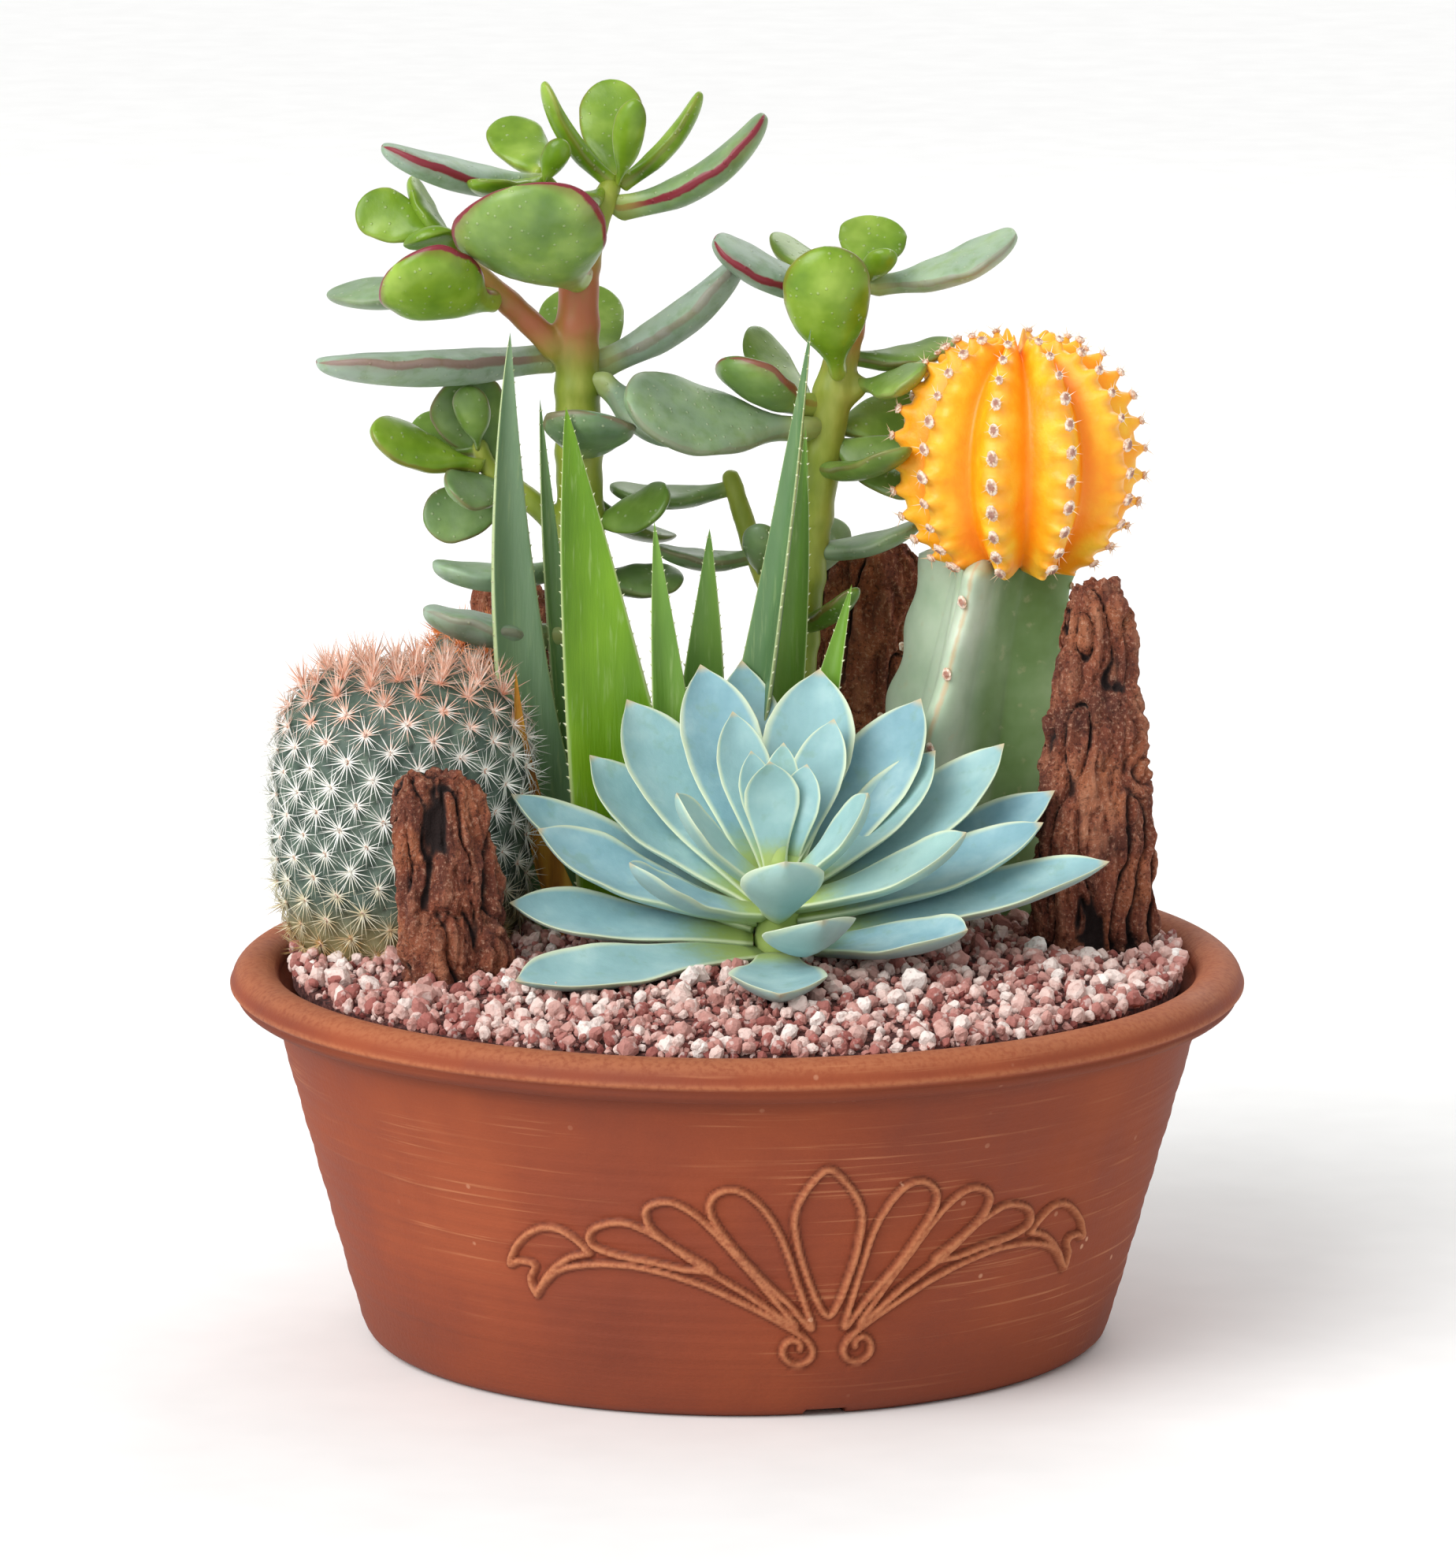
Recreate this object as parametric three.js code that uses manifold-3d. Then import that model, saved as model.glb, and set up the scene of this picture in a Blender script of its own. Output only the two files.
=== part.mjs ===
// A planted terracotta bowl: an echeveria rosette, two jade plants, an aloe, two globe cacti and a
// grafted moon cactus stand in potting mix under a gravel top dressing, between four pieces of bark.
// Millimetres, +Z up. The origin is the centre of the bowl's foot, and -Y is the decorated front.
import * as THREE from "three";
import { mergeVertices } from "three/addons/utils/BufferGeometryUtils.js";
import Module from "manifold-3d";

const wasm = await Module();
wasm.setup();

// ---- Driving dimensions -------------------------------------------------------------------------
const FOOT_RADIUS = 80.8; // outside of the wall at the table
const WALL_SLOPE = 0.277; // how far the wall leans out for each millimetre of height
const WALL = 6.6;
const FLOOR_TOP = 9;
const RIM_RADIUS = 110; // outside of the rolled rim
const RIM_TOP = 83;
const RIM_BOTTOM = 73.6;
const MOUTH_RADIUS = 97.5;
const DRAIN_RADIUS = 9;
const FOOT_RECESS = 2; // how far the underside lies above the table inside the foot ring
const FOOT_RING_INNER = 62;
const FOOT_TURN = THREE.MathUtils.degToRad(13.5); // the front notch sits this far to the right
const NOTCH = { count: 3, width: 9, height: 1.6 };
const POT_SEGMENTS = 48;

const MIX_TOP = 68;
const MOUND = 5; // how far the gravel rises from the rim to the middle
const GRAVEL_EDGE = 81;
const GAP = 0.3; // between pieces that touch
const RING = 8; // points round a leaf's section

// ---- Finishes -----------------------------------------------------------------------------------
const finish = (color, roughness) => new THREE.MeshStandardMaterial({ color, roughness, metalness: 0 });
const TERRACOTTA = finish(0xa9502c, 0.85);
const SOIL = finish(0x3a2a20, 1);
const GRAVEL = finish(0xd9b9b0, 0.95);
const BARK = finish(0x6d3a2a, 0.95);
const GLOBE = finish(0x5f7263, 0.8);
const STOCK = finish(0x8fae86, 0.6);
const SCION = finish(0xffa60a, 0.5);
const ALOE = finish(0x6f9a2c, 0.5);
const DRY_LEAF = finish(0xb9781f, 0.8);
const JADE = finish(0x7fa136, 0.4);
const JADE_STEM = finish(0x86983a, 0.6);
const ECHEVERIA = finish(0x8fb9bd, 0.7);

// ---- Geometry helpers ---------------------------------------------------------------------------
const vec = (p) => new THREE.Vector3(...p);

function geometryOf(points, faces) {
  const g = new THREE.BufferGeometry();
  g.setAttribute("position", new THREE.Float32BufferAttribute(points.flatMap((p) => [p.x, p.y, p.z]), 3));
  g.setIndex(faces);
  return g;
}

// A manifold-3d solid from a three.js geometry whose faces point out.
function solidOf(geometry) {
  const g = geometry.clone();
  g.deleteAttribute("normal");
  g.deleteAttribute("uv");
  const merged = mergeVertices(g, 1e-3);
  return new wasm.Manifold(
    new wasm.Mesh({
      numProp: 3,
      vertProperties: merged.attributes.position.array,
      triVerts: new Uint32Array(merged.index.array),
    }),
  );
}

// Back to a geometry, keeping only the largest body that a cut has left.
function geometryFrom(solid) {
  const bodies = solid.decompose().sort((a, b) => b.volume() - a.volume());
  const mesh = bodies[0].getMesh();
  const g = new THREE.BufferGeometry();
  g.setAttribute("position", new THREE.BufferAttribute(Float32Array.from(mesh.vertProperties), 3));
  g.setIndex(Array.from(mesh.triVerts));
  return g;
}

// Skins rings of equal length, base to tip. A tip point closes the end; without one it is a flat cap.
function skin(rings, tip) {
  const n = rings[0].length;
  const points = rings.flat();
  const faces = [];
  for (let k = 0; k + 1 < rings.length; k++)
    for (let i = 0; i < n; i++) {
      const j = (i + 1) % n;
      const [a, b, c, d] = [k * n + i, k * n + j, (k + 1) * n + j, (k + 1) * n + i];
      faces.push(a, b, c, a, c, d);
    }
  for (let i = 1; i + 1 < n; i++) faces.push(0, i + 1, i);
  const last = (rings.length - 1) * n;
  if (tip) {
    points.push(tip);
    for (let i = 0; i < n; i++) faces.push(last + i, last + ((i + 1) % n), points.length - 1);
  } else for (let i = 1; i + 1 < n; i++) faces.push(last, last + i, last + i + 1);
  return geometryOf(points, faces);
}

// Half-width and half-thickness along a leaf, from its foot to its tip, as shares of its largest.
const LEAF_FORMS = {
  jade: {
    at: [0, 0.14, 0.32, 0.53, 0.74, 0.91],
    wide: [0.2, 0.3, 0.66, 0.95, 1, 0.68],
    thick: [0.8, 0.85, 1, 1, 0.85, 0.6],
  },
  echeveria: {
    at: [0, 0.2, 0.42, 0.62, 0.8, 0.93],
    wide: [0.4, 0.5, 0.78, 1, 0.86, 0.42],
    thick: [0.9, 1, 1, 0.8, 0.6, 0.4],
  },
  aloe: {
    at: [0, 0.16, 0.36, 0.56, 0.76, 0.91],
    wide: [1, 0.97, 0.84, 0.64, 0.4, 0.19],
    thick: [0.9, 1, 0.9, 0.72, 0.48, 0.26],
  },
};

// A closed leaf from its foot to its tip. face is roughly the way its upper side looks, bend how far
// the middle sags below a straight line (share of the length), and cup how far the margins stand up.
function leafGeometry({ form, foot, tip, wide, thick, face, bend = 0.08, cup = 0.15, grow = 0 }) {
  const shape = LEAF_FORMS[form];
  const [a, b] = [vec(foot), vec(tip)];
  const chord = b.clone().sub(a);
  const length = chord.length();
  const along = chord.clone().normalize();
  const up = vec(face).addScaledVector(along, -vec(face).dot(along)).normalize();
  const middle = (s) =>
    a.clone().addScaledVector(chord, s).addScaledVector(up, -bend * length * 4 * s * (1 - s));
  const rings = shape.at.map((s, k) => {
    const t = chord.clone().addScaledVector(up, -bend * length * 4 * (1 - 2 * s)).normalize();
    const v = up.clone().addScaledVector(t, -up.dot(t)).normalize();
    const u = new THREE.Vector3().crossVectors(v, t);
    const w = (wide / 2) * shape.wide[k] + grow;
    const h = (thick / 2) * shape.thick[k] + grow;
    const m = middle(s).addScaledVector(t, k === 0 ? -grow : 0);
    return Array.from({ length: RING }, (_, i) => {
      const angle = (i / RING) * 2 * Math.PI;
      const across = Math.cos(angle);
      return m
        .clone()
        .addScaledVector(u, w * across)
        .addScaledVector(v, h * Math.sin(angle) + cup * w * (across * across - 0.5));
    });
  });
  return skin(rings, b.clone().addScaledVector(along, grow));
}

// A tapered round stem through points of [x, y, z, radius].
function stemGeometry(way, grow = 0, sides = 8) {
  const curve = new THREE.CatmullRomCurve3(way.map((p) => vec(p.slice(0, 3))), false, "centripetal");
  const steps = (way.length - 1) * 2;
  const rings = [];
  let u = new THREE.Vector3(1, 0, 0);
  for (let k = 0; k <= steps; k++) {
    const s = k / steps;
    const t = curve.getTangent(s);
    u = u.clone().addScaledVector(t, -u.dot(t)).normalize();
    const v = new THREE.Vector3().crossVectors(t, u);
    const place = s * (way.length - 1);
    const i = Math.min(Math.floor(place), way.length - 2);
    const r = THREE.MathUtils.lerp(way[i][3], way[i + 1][3], place - i) + grow;
    const c = curve.getPoint(s).addScaledVector(t, k === 0 ? -grow : k === steps ? grow : 0);
    rings.push(
      Array.from({ length: sides }, (_, j) => {
        const angle = (j / sides) * 2 * Math.PI;
        return c.clone().addScaledVector(u, r * Math.cos(angle)).addScaledVector(v, r * Math.sin(angle));
      }),
    );
  }
  return skin(rings);
}

// A lathe about +Z from [radius, height] points, listed so that the faces point out.
function latheGeometry(profile, segments) {
  const g = new THREE.LatheGeometry(profile.map((p) => new THREE.Vector2(...p)), segments);
  return g.rotateX(Math.PI / 2);
}

// Sections stacked from low to high: radius(angle, share of height) about a leaning axis.
function stackGeometry({ low, high, levels, sides, radius, grow = 0 }) {
  const [a, b] = [vec(low), vec(high)];
  const rings = levels.map((s, k) => {
    const c = a.clone().lerp(b, s);
    c.z += (k === 0 ? -grow : 0) + (k === levels.length - 1 ? grow : 0);
    return Array.from({ length: sides }, (_, i) => {
      const angle = (i / sides) * 2 * Math.PI;
      const [x, y] = radius(angle, s);
      const stretch = 1 + grow / Math.hypot(x, y);
      return new THREE.Vector3(c.x + x * stretch, c.y + y * stretch, c.z);
    });
  });
  return skin(rings);
}

// ---- The bowl -----------------------------------------------------------------------------------
const wallRadius = (z) => FOOT_RADIUS + WALL_SLOPE * z;

function potGeometry() {
  const [rollR, rollZ] = [(RIM_RADIUS + MOUTH_RADIUS) / 2 + 1, (RIM_TOP + RIM_BOTTOM) / 2];
  const roll = (degrees) => {
    const a = THREE.MathUtils.degToRad(degrees);
    return [rollR + (RIM_RADIUS - rollR) * Math.cos(a), rollZ + ((RIM_TOP - RIM_BOTTOM) / 2) * Math.sin(a)];
  };
  const outside = [
    [DRAIN_RADIUS, FOOT_RECESS],
    [FOOT_RING_INNER - 1, FOOT_RECESS],
    [FOOT_RING_INNER, 0],
    [FOOT_RADIUS - 4, 0],
    [FOOT_RADIUS - 1.2, 0.8],
    [wallRadius(3.5), 3.5],
    [wallRadius(36), 36],
    [wallRadius(RIM_BOTTOM - 1), RIM_BOTTOM - 1],
    ...[-75, -45, -15, 15, 45, 75, 100, 130, 160].map(roll),
    [MOUTH_RADIUS, rollZ - 1],
    [wallRadius(RIM_BOTTOM) - WALL, RIM_BOTTOM],
    [wallRadius(FLOOR_TOP + 4) - WALL, FLOOR_TOP + 4],
    [wallRadius(FLOOR_TOP) - WALL - 5, FLOOR_TOP],
    [DRAIN_RADIUS, FLOOR_TOP],
    [DRAIN_RADIUS, FOOT_RECESS],
  ];
  let pot = solidOf(latheGeometry(outside, POT_SEGMENTS));
  for (let i = 0; i < NOTCH.count; i++) {
    const depth = FOOT_RADIUS - FOOT_RING_INNER + 8;
    const notch = new THREE.BoxGeometry(NOTCH.width, depth, NOTCH.height * 2);
    notch.translate(0, -(FOOT_RADIUS + FOOT_RING_INNER) / 2, 0);
    notch.rotateZ(FOOT_TURN + (i / NOTCH.count) * 2 * Math.PI);
    pot = pot.subtract(solidOf(notch));
  }
  return geometryFrom(pot);
}

function pottingMixGeometry() {
  const inside = (z) => wallRadius(z) - WALL - GAP - 0.1;
  return latheGeometry(
    [
      [0, FLOOR_TOP + GAP],
      [inside(FLOOR_TOP) - 6, FLOOR_TOP + GAP],
      [inside(FLOOR_TOP + 5), FLOOR_TOP + 5],
      [inside(MIX_TOP), MIX_TOP],
      [0, MIX_TOP],
    ],
    POT_SEGMENTS,
  );
}

// Gravel height: low at the rim, higher in the middle and banked up towards the back.
const gravelTop = (x, y) => {
  const out = Math.min(1, Math.hypot(x, y) / MOUTH_RADIUS);
  return GRAVEL_EDGE + MOUND * (1 - out ** 3) + 2.5 * (1 - out ** 6) * Math.max(0, y / MOUTH_RADIUS);
};

function gravelGeometry() {
  const low = MIX_TOP + GAP;
  const inside = (z) => wallRadius(z) - WALL - GAP - 0.1;
  const mouth = MOUTH_RADIUS - GAP - 0.4;
  const rows = [0.12, 0.3, 0.5, 0.68, 0.84, 0.94].map((s) => [mouth * s, 0]);
  const g = latheGeometry(
    [[0, low], [inside(low), low], [inside(RIM_BOTTOM) - GAP, RIM_BOTTOM], [mouth, RIM_BOTTOM + 4.8],
     [mouth, GRAVEL_EDGE], ...rows.reverse(), [0, 0]],
    POT_SEGMENTS,
  );
  const p = g.attributes.position;
  for (let i = 0; i < p.count; i++)
    if (Math.abs(p.getZ(i)) < 1e-6) p.setZ(i, gravelTop(p.getX(i), p.getY(i)));
  return g;
}

// ---- The cacti ----------------------------------------------------------------------------------
// A globe cactus: a round column with a domed, slightly dimpled top.
function globeGeometry({ at, height, radius, sides = 20, grow = 0 }) {
  const half = [0.5, 0.66, 0.86, 0.97, 1, 0.98, 0.9, 0.74, 0.5, 0.24];
  const rise = [0, 0.1, 0.24, 0.42, 0.58, 0.74, 0.87, 0.95, 0.99, 0.985];
  const profile = half.map((r, i) => [radius * r + grow, height * rise[i] + (i ? grow : -grow)]);
  const g = latheGeometry([[0, -grow], ...profile, [0, height * 0.975 + grow]], sides);
  return g.translate(...at);
}

// The rootstock: a three-winged column, leaning a little.
const STOCK_LOW = [38, 30, MIX_TOP + GAP];
const STOCK_HIGH = [56, 33, 167];
const STOCK_TURN = 252; // degrees, the way the front wing points
function stockGeometry(grow = 0) {
  const wing = (angle, s) => {
    const front = Math.cos(angle - THREE.MathUtils.degToRad(STOCK_TURN));
    const c = Math.cos(3 * (angle - THREE.MathUtils.degToRad(STOCK_TURN)));
    const reach = 10 + (front > 0.5 ? 10.5 : 15) * Math.max(0, c) ** 2.2 - 1.5 * Math.max(0, -c);
    const swell = 1 - 0.26 * s ** 3 + 0.03 * Math.sin(s * 14);
    return [Math.cos(angle) * reach * swell, Math.sin(angle) * reach * swell];
  };
  return stackGeometry({
    low: STOCK_LOW, high: STOCK_HIGH, levels: [0, 0.18, 0.36, 0.54, 0.7, 0.84, 0.93, 1],
    sides: 18, radius: wing, grow,
  });
}

// The scion: a ball of sharp ribs, narrowing to the graft, with a dimpled crown.
const SCION_RIBS = 10;
const SCION_TURN = THREE.MathUtils.degToRad(-103.5); // the rib nearest the front
function scionGeometry() {
  const centre = [61.5, 33, 186.5];
  const [wide, tall] = [26.6, 27.6];
  const around = SCION_RIBS * 4;
  const downs = [12, 28, 46, 64, 82, 100, 118, 136, 152];
  const rings = downs.reverse().map((degrees) => {
    const a = THREE.MathUtils.degToRad(degrees);
    const narrow = degrees > 90 ? 1 - 0.18 * ((degrees - 90) / 90) ** 2 : 1;
    return Array.from({ length: around }, (_, i) => {
      const angle = (i / around) * 2 * Math.PI;
      const rib = 0.5 + 0.5 * Math.cos(SCION_RIBS * (angle - SCION_TURN));
      const r = wide * Math.sin(a) ** 0.8 * narrow * (0.84 + 0.16 * rib);
      return new THREE.Vector3(
        centre[0] + r * Math.cos(angle),
        centre[1] + r * Math.sin(angle),
        centre[2] + tall * Math.cos(a) * (0.94 + 0.06 * rib),
      );
    });
  });
  return skin(rings, new THREE.Vector3(centre[0], centre[1], centre[2] + tall * 0.88));
}

// ---- Bark ---------------------------------------------------------------------------------------
// A weathered slab standing on end: an oval section with ridges that wander up its length.
function barkGeometry({ low, high, wide, deep, turn, seed, taper = 0.75, belly = 0, grow = 0 }) {
  const ridge = (angle, s) =>
    1 + 0.1 * Math.sin(3 * angle + seed + 2 * s) + 0.07 * Math.sin(5 * angle - seed * 2 + 4 * s);
  const turned = THREE.MathUtils.degToRad(turn);
  const radius = (angle, s) => {
    const swell = 1 + belly * Math.sin(Math.PI * Math.min(1, s * 1.6));
    const size = ridge(angle, s) * swell * THREE.MathUtils.lerp(1, taper, s * s) * (s === 1 ? 0.72 : 1);
    const [x, y] = [(wide / 2) * Math.cos(angle) * size, (deep / 2) * Math.sin(angle) * size];
    return [x * Math.cos(turned) - y * Math.sin(turned), x * Math.sin(turned) + y * Math.cos(turned)];
  };
  return stackGeometry({
    low, high, levels: [0, 0.2, 0.4, 0.6, 0.8, 0.94, 1], sides: 14, radius, grow,
  });
}
const STAND = MIX_TOP + GAP;
const BARKS = {
  bark_front: { low: [-58.5, -28, STAND], high: [-66, -26, 129], wide: 25, deep: 15, turn: 8, seed: 1 },
  bark_right: {
    low: [76.5, 8, STAND], high: [78, 13, 163], wide: 25, deep: 19, turn: 8, seed: 2.2,
    taper: 0.55, belly: 0.2,
  },
  bark_back_right: { low: [28, 69, STAND], high: [31, 69, 163], wide: 34, deep: 13, turn: 0, seed: 3.4 },
  bark_back_left: { low: [-36, 70, STAND], high: [-52, 76, 153], wide: 24, deep: 11, turn: 12, seed: 4.1 },
};

// ---- Aloe ---------------------------------------------------------------------------------------
// [name, foot, tip, width, thickness, face, bend, cup]
const ALOE_LEAVES = [
  ["aloe_leaf_broad", [-19, 13, STAND], [-37, 9, 202], 27, 6, [0.15, -1, 0.1], 0.02, 0.1],
  ["aloe_leaf_left_tall", [-31, 16, STAND], [-49, 11, 218], 20, 7, [0.6, -0.75, 0.3], 0.07, 0.2],
  ["aloe_leaf_left_back", [-27, 24, STAND], [-43, 28, 201], 10, 5, [0.5, -0.8, 0.2], 0.03, 0.2],
  ["aloe_leaf_mid_front", [-10, 19, STAND], [-18, 15, 176], 14, 5, [0.1, -1, 0.2], -0.02, 0.1],
  ["aloe_leaf_mid_back", [-10, 29, STAND], [-6, 30, 172], 18, 5, [-0.1, -1, 0.2], 0.02, 0.1],
  ["aloe_leaf_right_tall", [-9, 24, STAND], [16, 18, 218], 14, 5, [-0.7, -0.7, 0.3], 0.01, 0.3],
  ["aloe_leaf_right_light", [2, 25, STAND], [15, 27, 195], 12, 5, [-0.2, -1, 0.2], 0.04, 0.2],
  ["aloe_leaf_right_small", [6, 14, STAND], [25, 16, 162], 14, 4, [-0.3, -1, 0.3], -0.02, 0.15],
  ["aloe_leaf_dry", [-27, 8, STAND], [-48, 4, 145], 9, 2.5, [0.6, -0.7, 0.1], 0.05, 0.3],
];

// ---- Jade plants --------------------------------------------------------------------------------
const JADE_STEMS = {
  jade_stem_left: [
    [[-33, 34, STAND, 7], [-33, 35, 112, 6.2], [-34, 37, 160, 5.4], [-35, 40, 206, 4.9],
     [-34.5, 40, 226, 4.4], [-31, 42, 238, 3.2], [-27, 46, 247, 2.4]],
    [[-35, 40, 206, 3.2], [-45, 38, 216, 3], [-53, 36, 224, 2.6], [-62, 38, 232, 2], [-66, 39, 236, 1.6]],
    [[-33, 41, 234, 2.4], [-38, 42, 242, 2.2], [-43, 43, 248, 1.8]],
    [[-34, 38, 166, 3], [-46, 41, 177, 2.6], [-55, 42, 184, 2.2], [-57, 41, 190, 1.8]],
  ],
  jade_stem_right: [
    [[5, 42, STAND, 7], [9, 42, 112, 6.4], [14, 44, 160, 5.6], [20, 43, 195, 4.6], [24, 43, 212, 3.6],
     [28, 46, 227, 2.4]],
    [[12, 43, 146, 3], [4, 48, 164, 2.6], [-2, 50, 182, 2]],
    [[21, 43, 196, 2.6], [25, 43, 200, 2.4], [28, 42, 203, 2]],
  ],
};

// Young leaves at the shoot tips, grown as one with their stem: [foot, tip, width, face]
const YOUNG_LEAVES = {
  jade_stem_left: [
    [[-66, 39, 235], [-83, 44, 242], 12, [0.3, -0.9, 0.3]],
    [[-61, 38, 232], [-71, 50, 247], 10, [0.8, -0.3, 0.3]],
    [[-63, 38, 231], [-68, 24, 237], 12, [0, -0.6, -0.7]],
    [[-42, 43, 247], [-57, 26, 249], 12, [0.2, 0.5, 0.8]],
    [[-43, 43, 248], [-51, 60, 259], 13, [0.2, -0.8, 0.5]],
    [[-42, 42, 247], [-38, 36, 257], 6, [0, 1, 0.2]],
    [[-29, 44, 244], [-41, 22, 248], 12, [0, 0.2, 1]],
    [[-27, 45, 246], [-42, 41, 269], 9, [0.9, 0, 0.5]],
    [[-27, 47, 246], [-28, 63, 267], 14, [0, -0.8, 0.5]],
    [[-26, 45, 247], [-22, 33, 266], 7, [0, 1, 0.3]],
    [[-25, 46, 246], [-8, 48, 266], 7, [-0.6, 0, 0.8]],
    [[-28, 47, 240], [-17, 60, 250], 13, [0.2, -0.9, 0.4]],
    [[-35, 42, 205], [-34, 73, 220], 19, [0, -0.3, 1]],
    [[-57, 41, 189], [-59, 34, 203], 8, [0, 1, 0.2]],
    [[-48, 41, 178], [-69, 40, 172], 13, [0.2, -0.8, 0.5]],
    [[-33, 40, 178], [-15, 60, 166], 15, [0.2, -0.2, 1]],
    [[-33, 38, 172], [-15, 27, 180], 12, [0.2, -0.7, 0.7]],
    [[-33, 37, 160], [-12, 47, 159], 12, [0, -0.5, 0.9]],
    [[-50, 42, 180], [-63, 29, 181], 12, [0, -0.7, 0.7]],
    [[-56, 42, 187], [-71, 52, 193], 12, [0.2, -0.7, 0.6]],
  ],
  jade_stem_right: [
    [[26, 45, 222], [9, 70, 232], 12, [0.3, -0.3, 0.9]],
    [[28, 46, 226], [31, 60, 237], 15, [0, -0.8, 0.6]],
    [[28, 45, 226], [33, 33, 233], 7, [0, 0.6, 0.8]],
    [[27, 42, 202], [40, 28, 207], 12, [-0.2, -0.5, 0.8]],
    [[16, 43, 184], [37, 22, 191], 12, [-0.2, 0.2, 1]],
    [[-1, 50, 178], [-28, 44, 179], 13, [0.1, -0.1, 1]],
    [[18, 44, 194], [4, 64, 212], 13, [0.5, -0.6, 0.6]],
    [[11, 43, 148], [26, 28, 159], 9, [-0.2, 0, 1]],
    [[5, 47, 160], [5, 36, 172], 8, [0, 1, 0.3]],
    [[24, 44, 208], [48, 47, 211], 11, [0, -0.2, 1]],
    [[13, 44, 165], [41, 41, 172], 13, [0, -0.1, 1]],
    [[4, 48, 163], [-18, 42, 166], 11, [0, -0.1, 1]],
    [[19, 43, 190], [44, 31, 183], 15, [0, -0.8, 0.5]],
    [[20, 44, 192], [42, 50, 196], 14, [0, -0.6, 0.7]],
    [[6, 46, 156], [24, 63, 168], 13, [0, -0.8, 0.5]],
  ],
};

// Grown leaves, one solid each: [name, foot, tip, width, thickness, face, bend]
const JADE_LEAVES = [
  ["jade_leaf_left_long", [-41, 43, 208], [-91, 20, 210], 23, 8, [0, 0.1, 1], 0.03],
  ["jade_leaf_left_far", [-58, 38, 225], [-90, 52, 221], 15, 6, [0, -0.3, 1], 0.03],
  ["jade_leaf_left_red", [-54, 34, 222], [-74, 16, 232], 23, 7, [-0.1, 0.75, 0.6], 0.08],
  ["jade_leaf_left_front", [-35, 35, 227], [-48, 9, 250], 34, 8, [0.1, 0.7, 0.7], 0.12],
  ["jade_leaf_left_top", [-44, 42, 246], [-77, 30, 256], 15, 7, [0.2, -0.1, 1], 0.05],
  ["jade_leaf_left_horn", [-25, 44, 241], [6, 40, 262], 13, 7, [-0.5, 0, 0.85], 0.12],
  ["jade_leaf_left_wing", [-29, 42, 207], [1, 44, 230], 15, 8, [-0.6, -0.1, 0.75], 0.06],
  ["jade_leaf_left_drop", [-29, 37, 203], [-9, 28, 192], 17, 7, [0.5, -0.4, 0.8], 0.05],
  ["jade_leaf_left_under", [-34, 31, 190], [-30, 10, 200], 20, 7, [0, 0.4, 0.9], 0.05],
  ["jade_leaf_left_low", [-57, 40, 184], [-80, 32, 194], 12, 6, [0.3, -0.6, 0.75], 0.05],
  ["jade_leaf_left_olive", [-52, 45, 183], [-62, 43, 203], 17, 7, [0.3, -0.95, 0], 0.08],
  ["jade_leaf_left_pale", [-40, 35, 162], [-66, 22, 165], 15, 6, [0, 0, 1], 0.05],
  ["jade_leaf_left_base", [-41, 31, 148], [-68, 22, 155], 22, 7, [0, 0, 1], 0.03],
  ["jade_leaf_right_tip", [21, 43, 222], [-5, 34, 235], 14, 7, [0.4, -0.2, 0.9], 0.05],
  ["jade_leaf_right_wing", [31, 43, 224], [61, 38, 236], 17, 6, [-0.4, -0.2, 0.9], 0.08],
  ["jade_leaf_right_tall", [22, 38, 206], [19, 24, 235], 19, 7, [0, 0.9, 0.4], 0.07],
  ["jade_leaf_right_olive", [15, 40, 198], [-2, 27, 210], 17, 7, [0.2, 0.3, 0.9], 0.06],
  ["jade_leaf_right_oval", [14, 37, 193], [-24, 14, 203], 22, 8, [0.1, -0.6, 0.75], 0.06],
];

// ---- Echeveria ----------------------------------------------------------------------------------
const ROSETTE = {
  low: [8.5, -15, STAND],
  crown: [8.5, -16, 87],
  lean: THREE.MathUtils.degToRad(18), // towards the front
};

// [name, tip, width, height of the foot up the crown]
const ECHEVERIA_LEAVES = [
  ["echeveria_leaf_01", [-47, -56, 89], 19, 2],
  ["echeveria_leaf_02", [9, -74, 90], 21, 2],
  ["echeveria_leaf_03", [80, -22, 108], 18, 3],
  ["echeveria_leaf_04", [-49, -22, 99], 18, 4],
  ["echeveria_leaf_05", [49, -46, 98], 18, 4],
  ["echeveria_leaf_06", [-49, -2, 119], 19, 6.5],
  ["echeveria_leaf_07", [69, 2, 119], 18, 6.5],
  ["echeveria_leaf_08", [-43, -16, 114], 18, 9],
  ["echeveria_leaf_09", [66, -14, 115], 17, 9],
  ["echeveria_leaf_10", [18, -60, 103], 20, 7],
  ["echeveria_leaf_11", [-15, 21, 138], 15, 7],
  ["echeveria_leaf_12", [1, 23, 144], 17, 8.5],
  ["echeveria_leaf_13", [58, 4, 129], 18, 11],
  ["echeveria_leaf_14", [-32, 1, 127], 19, 11.5],
  ["echeveria_leaf_15", [40, 9, 138], 20, 12],
  ["echeveria_leaf_16", [-24, 8, 138], 19, 12.5],
  ["echeveria_leaf_17", [-8, 12, 145], 18, 14.5],
  ["echeveria_leaf_18", [18, 12, 144], 20, 15],
  ["echeveria_leaf_19", [-23, -38, 111], 15, 11],
];

// Inner leaves, still joined to the stem: [tip, width, height of the foot up the crown]
const HEART_LEAVES = [
  [[10, -47, 113], 18, 12],
  [[49, -30, 116], 16, 12.5],
  [[43, 1, 128], 16, 14],
  [[28, -27, 124], 13, 16.5],
  [[-13, -27, 124], 13, 16.5],
  [[-1, -1, 137], 12, 17.5],
  [[21, 1, 135], 12, 17.5],
  [[7, -17, 129], 12, 19],
  [[15, -15, 128], 9, 19.5],
  [[3, -10, 130], 8, 19.5],
  [[10, -11, 132], 8, 20],
];

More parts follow.
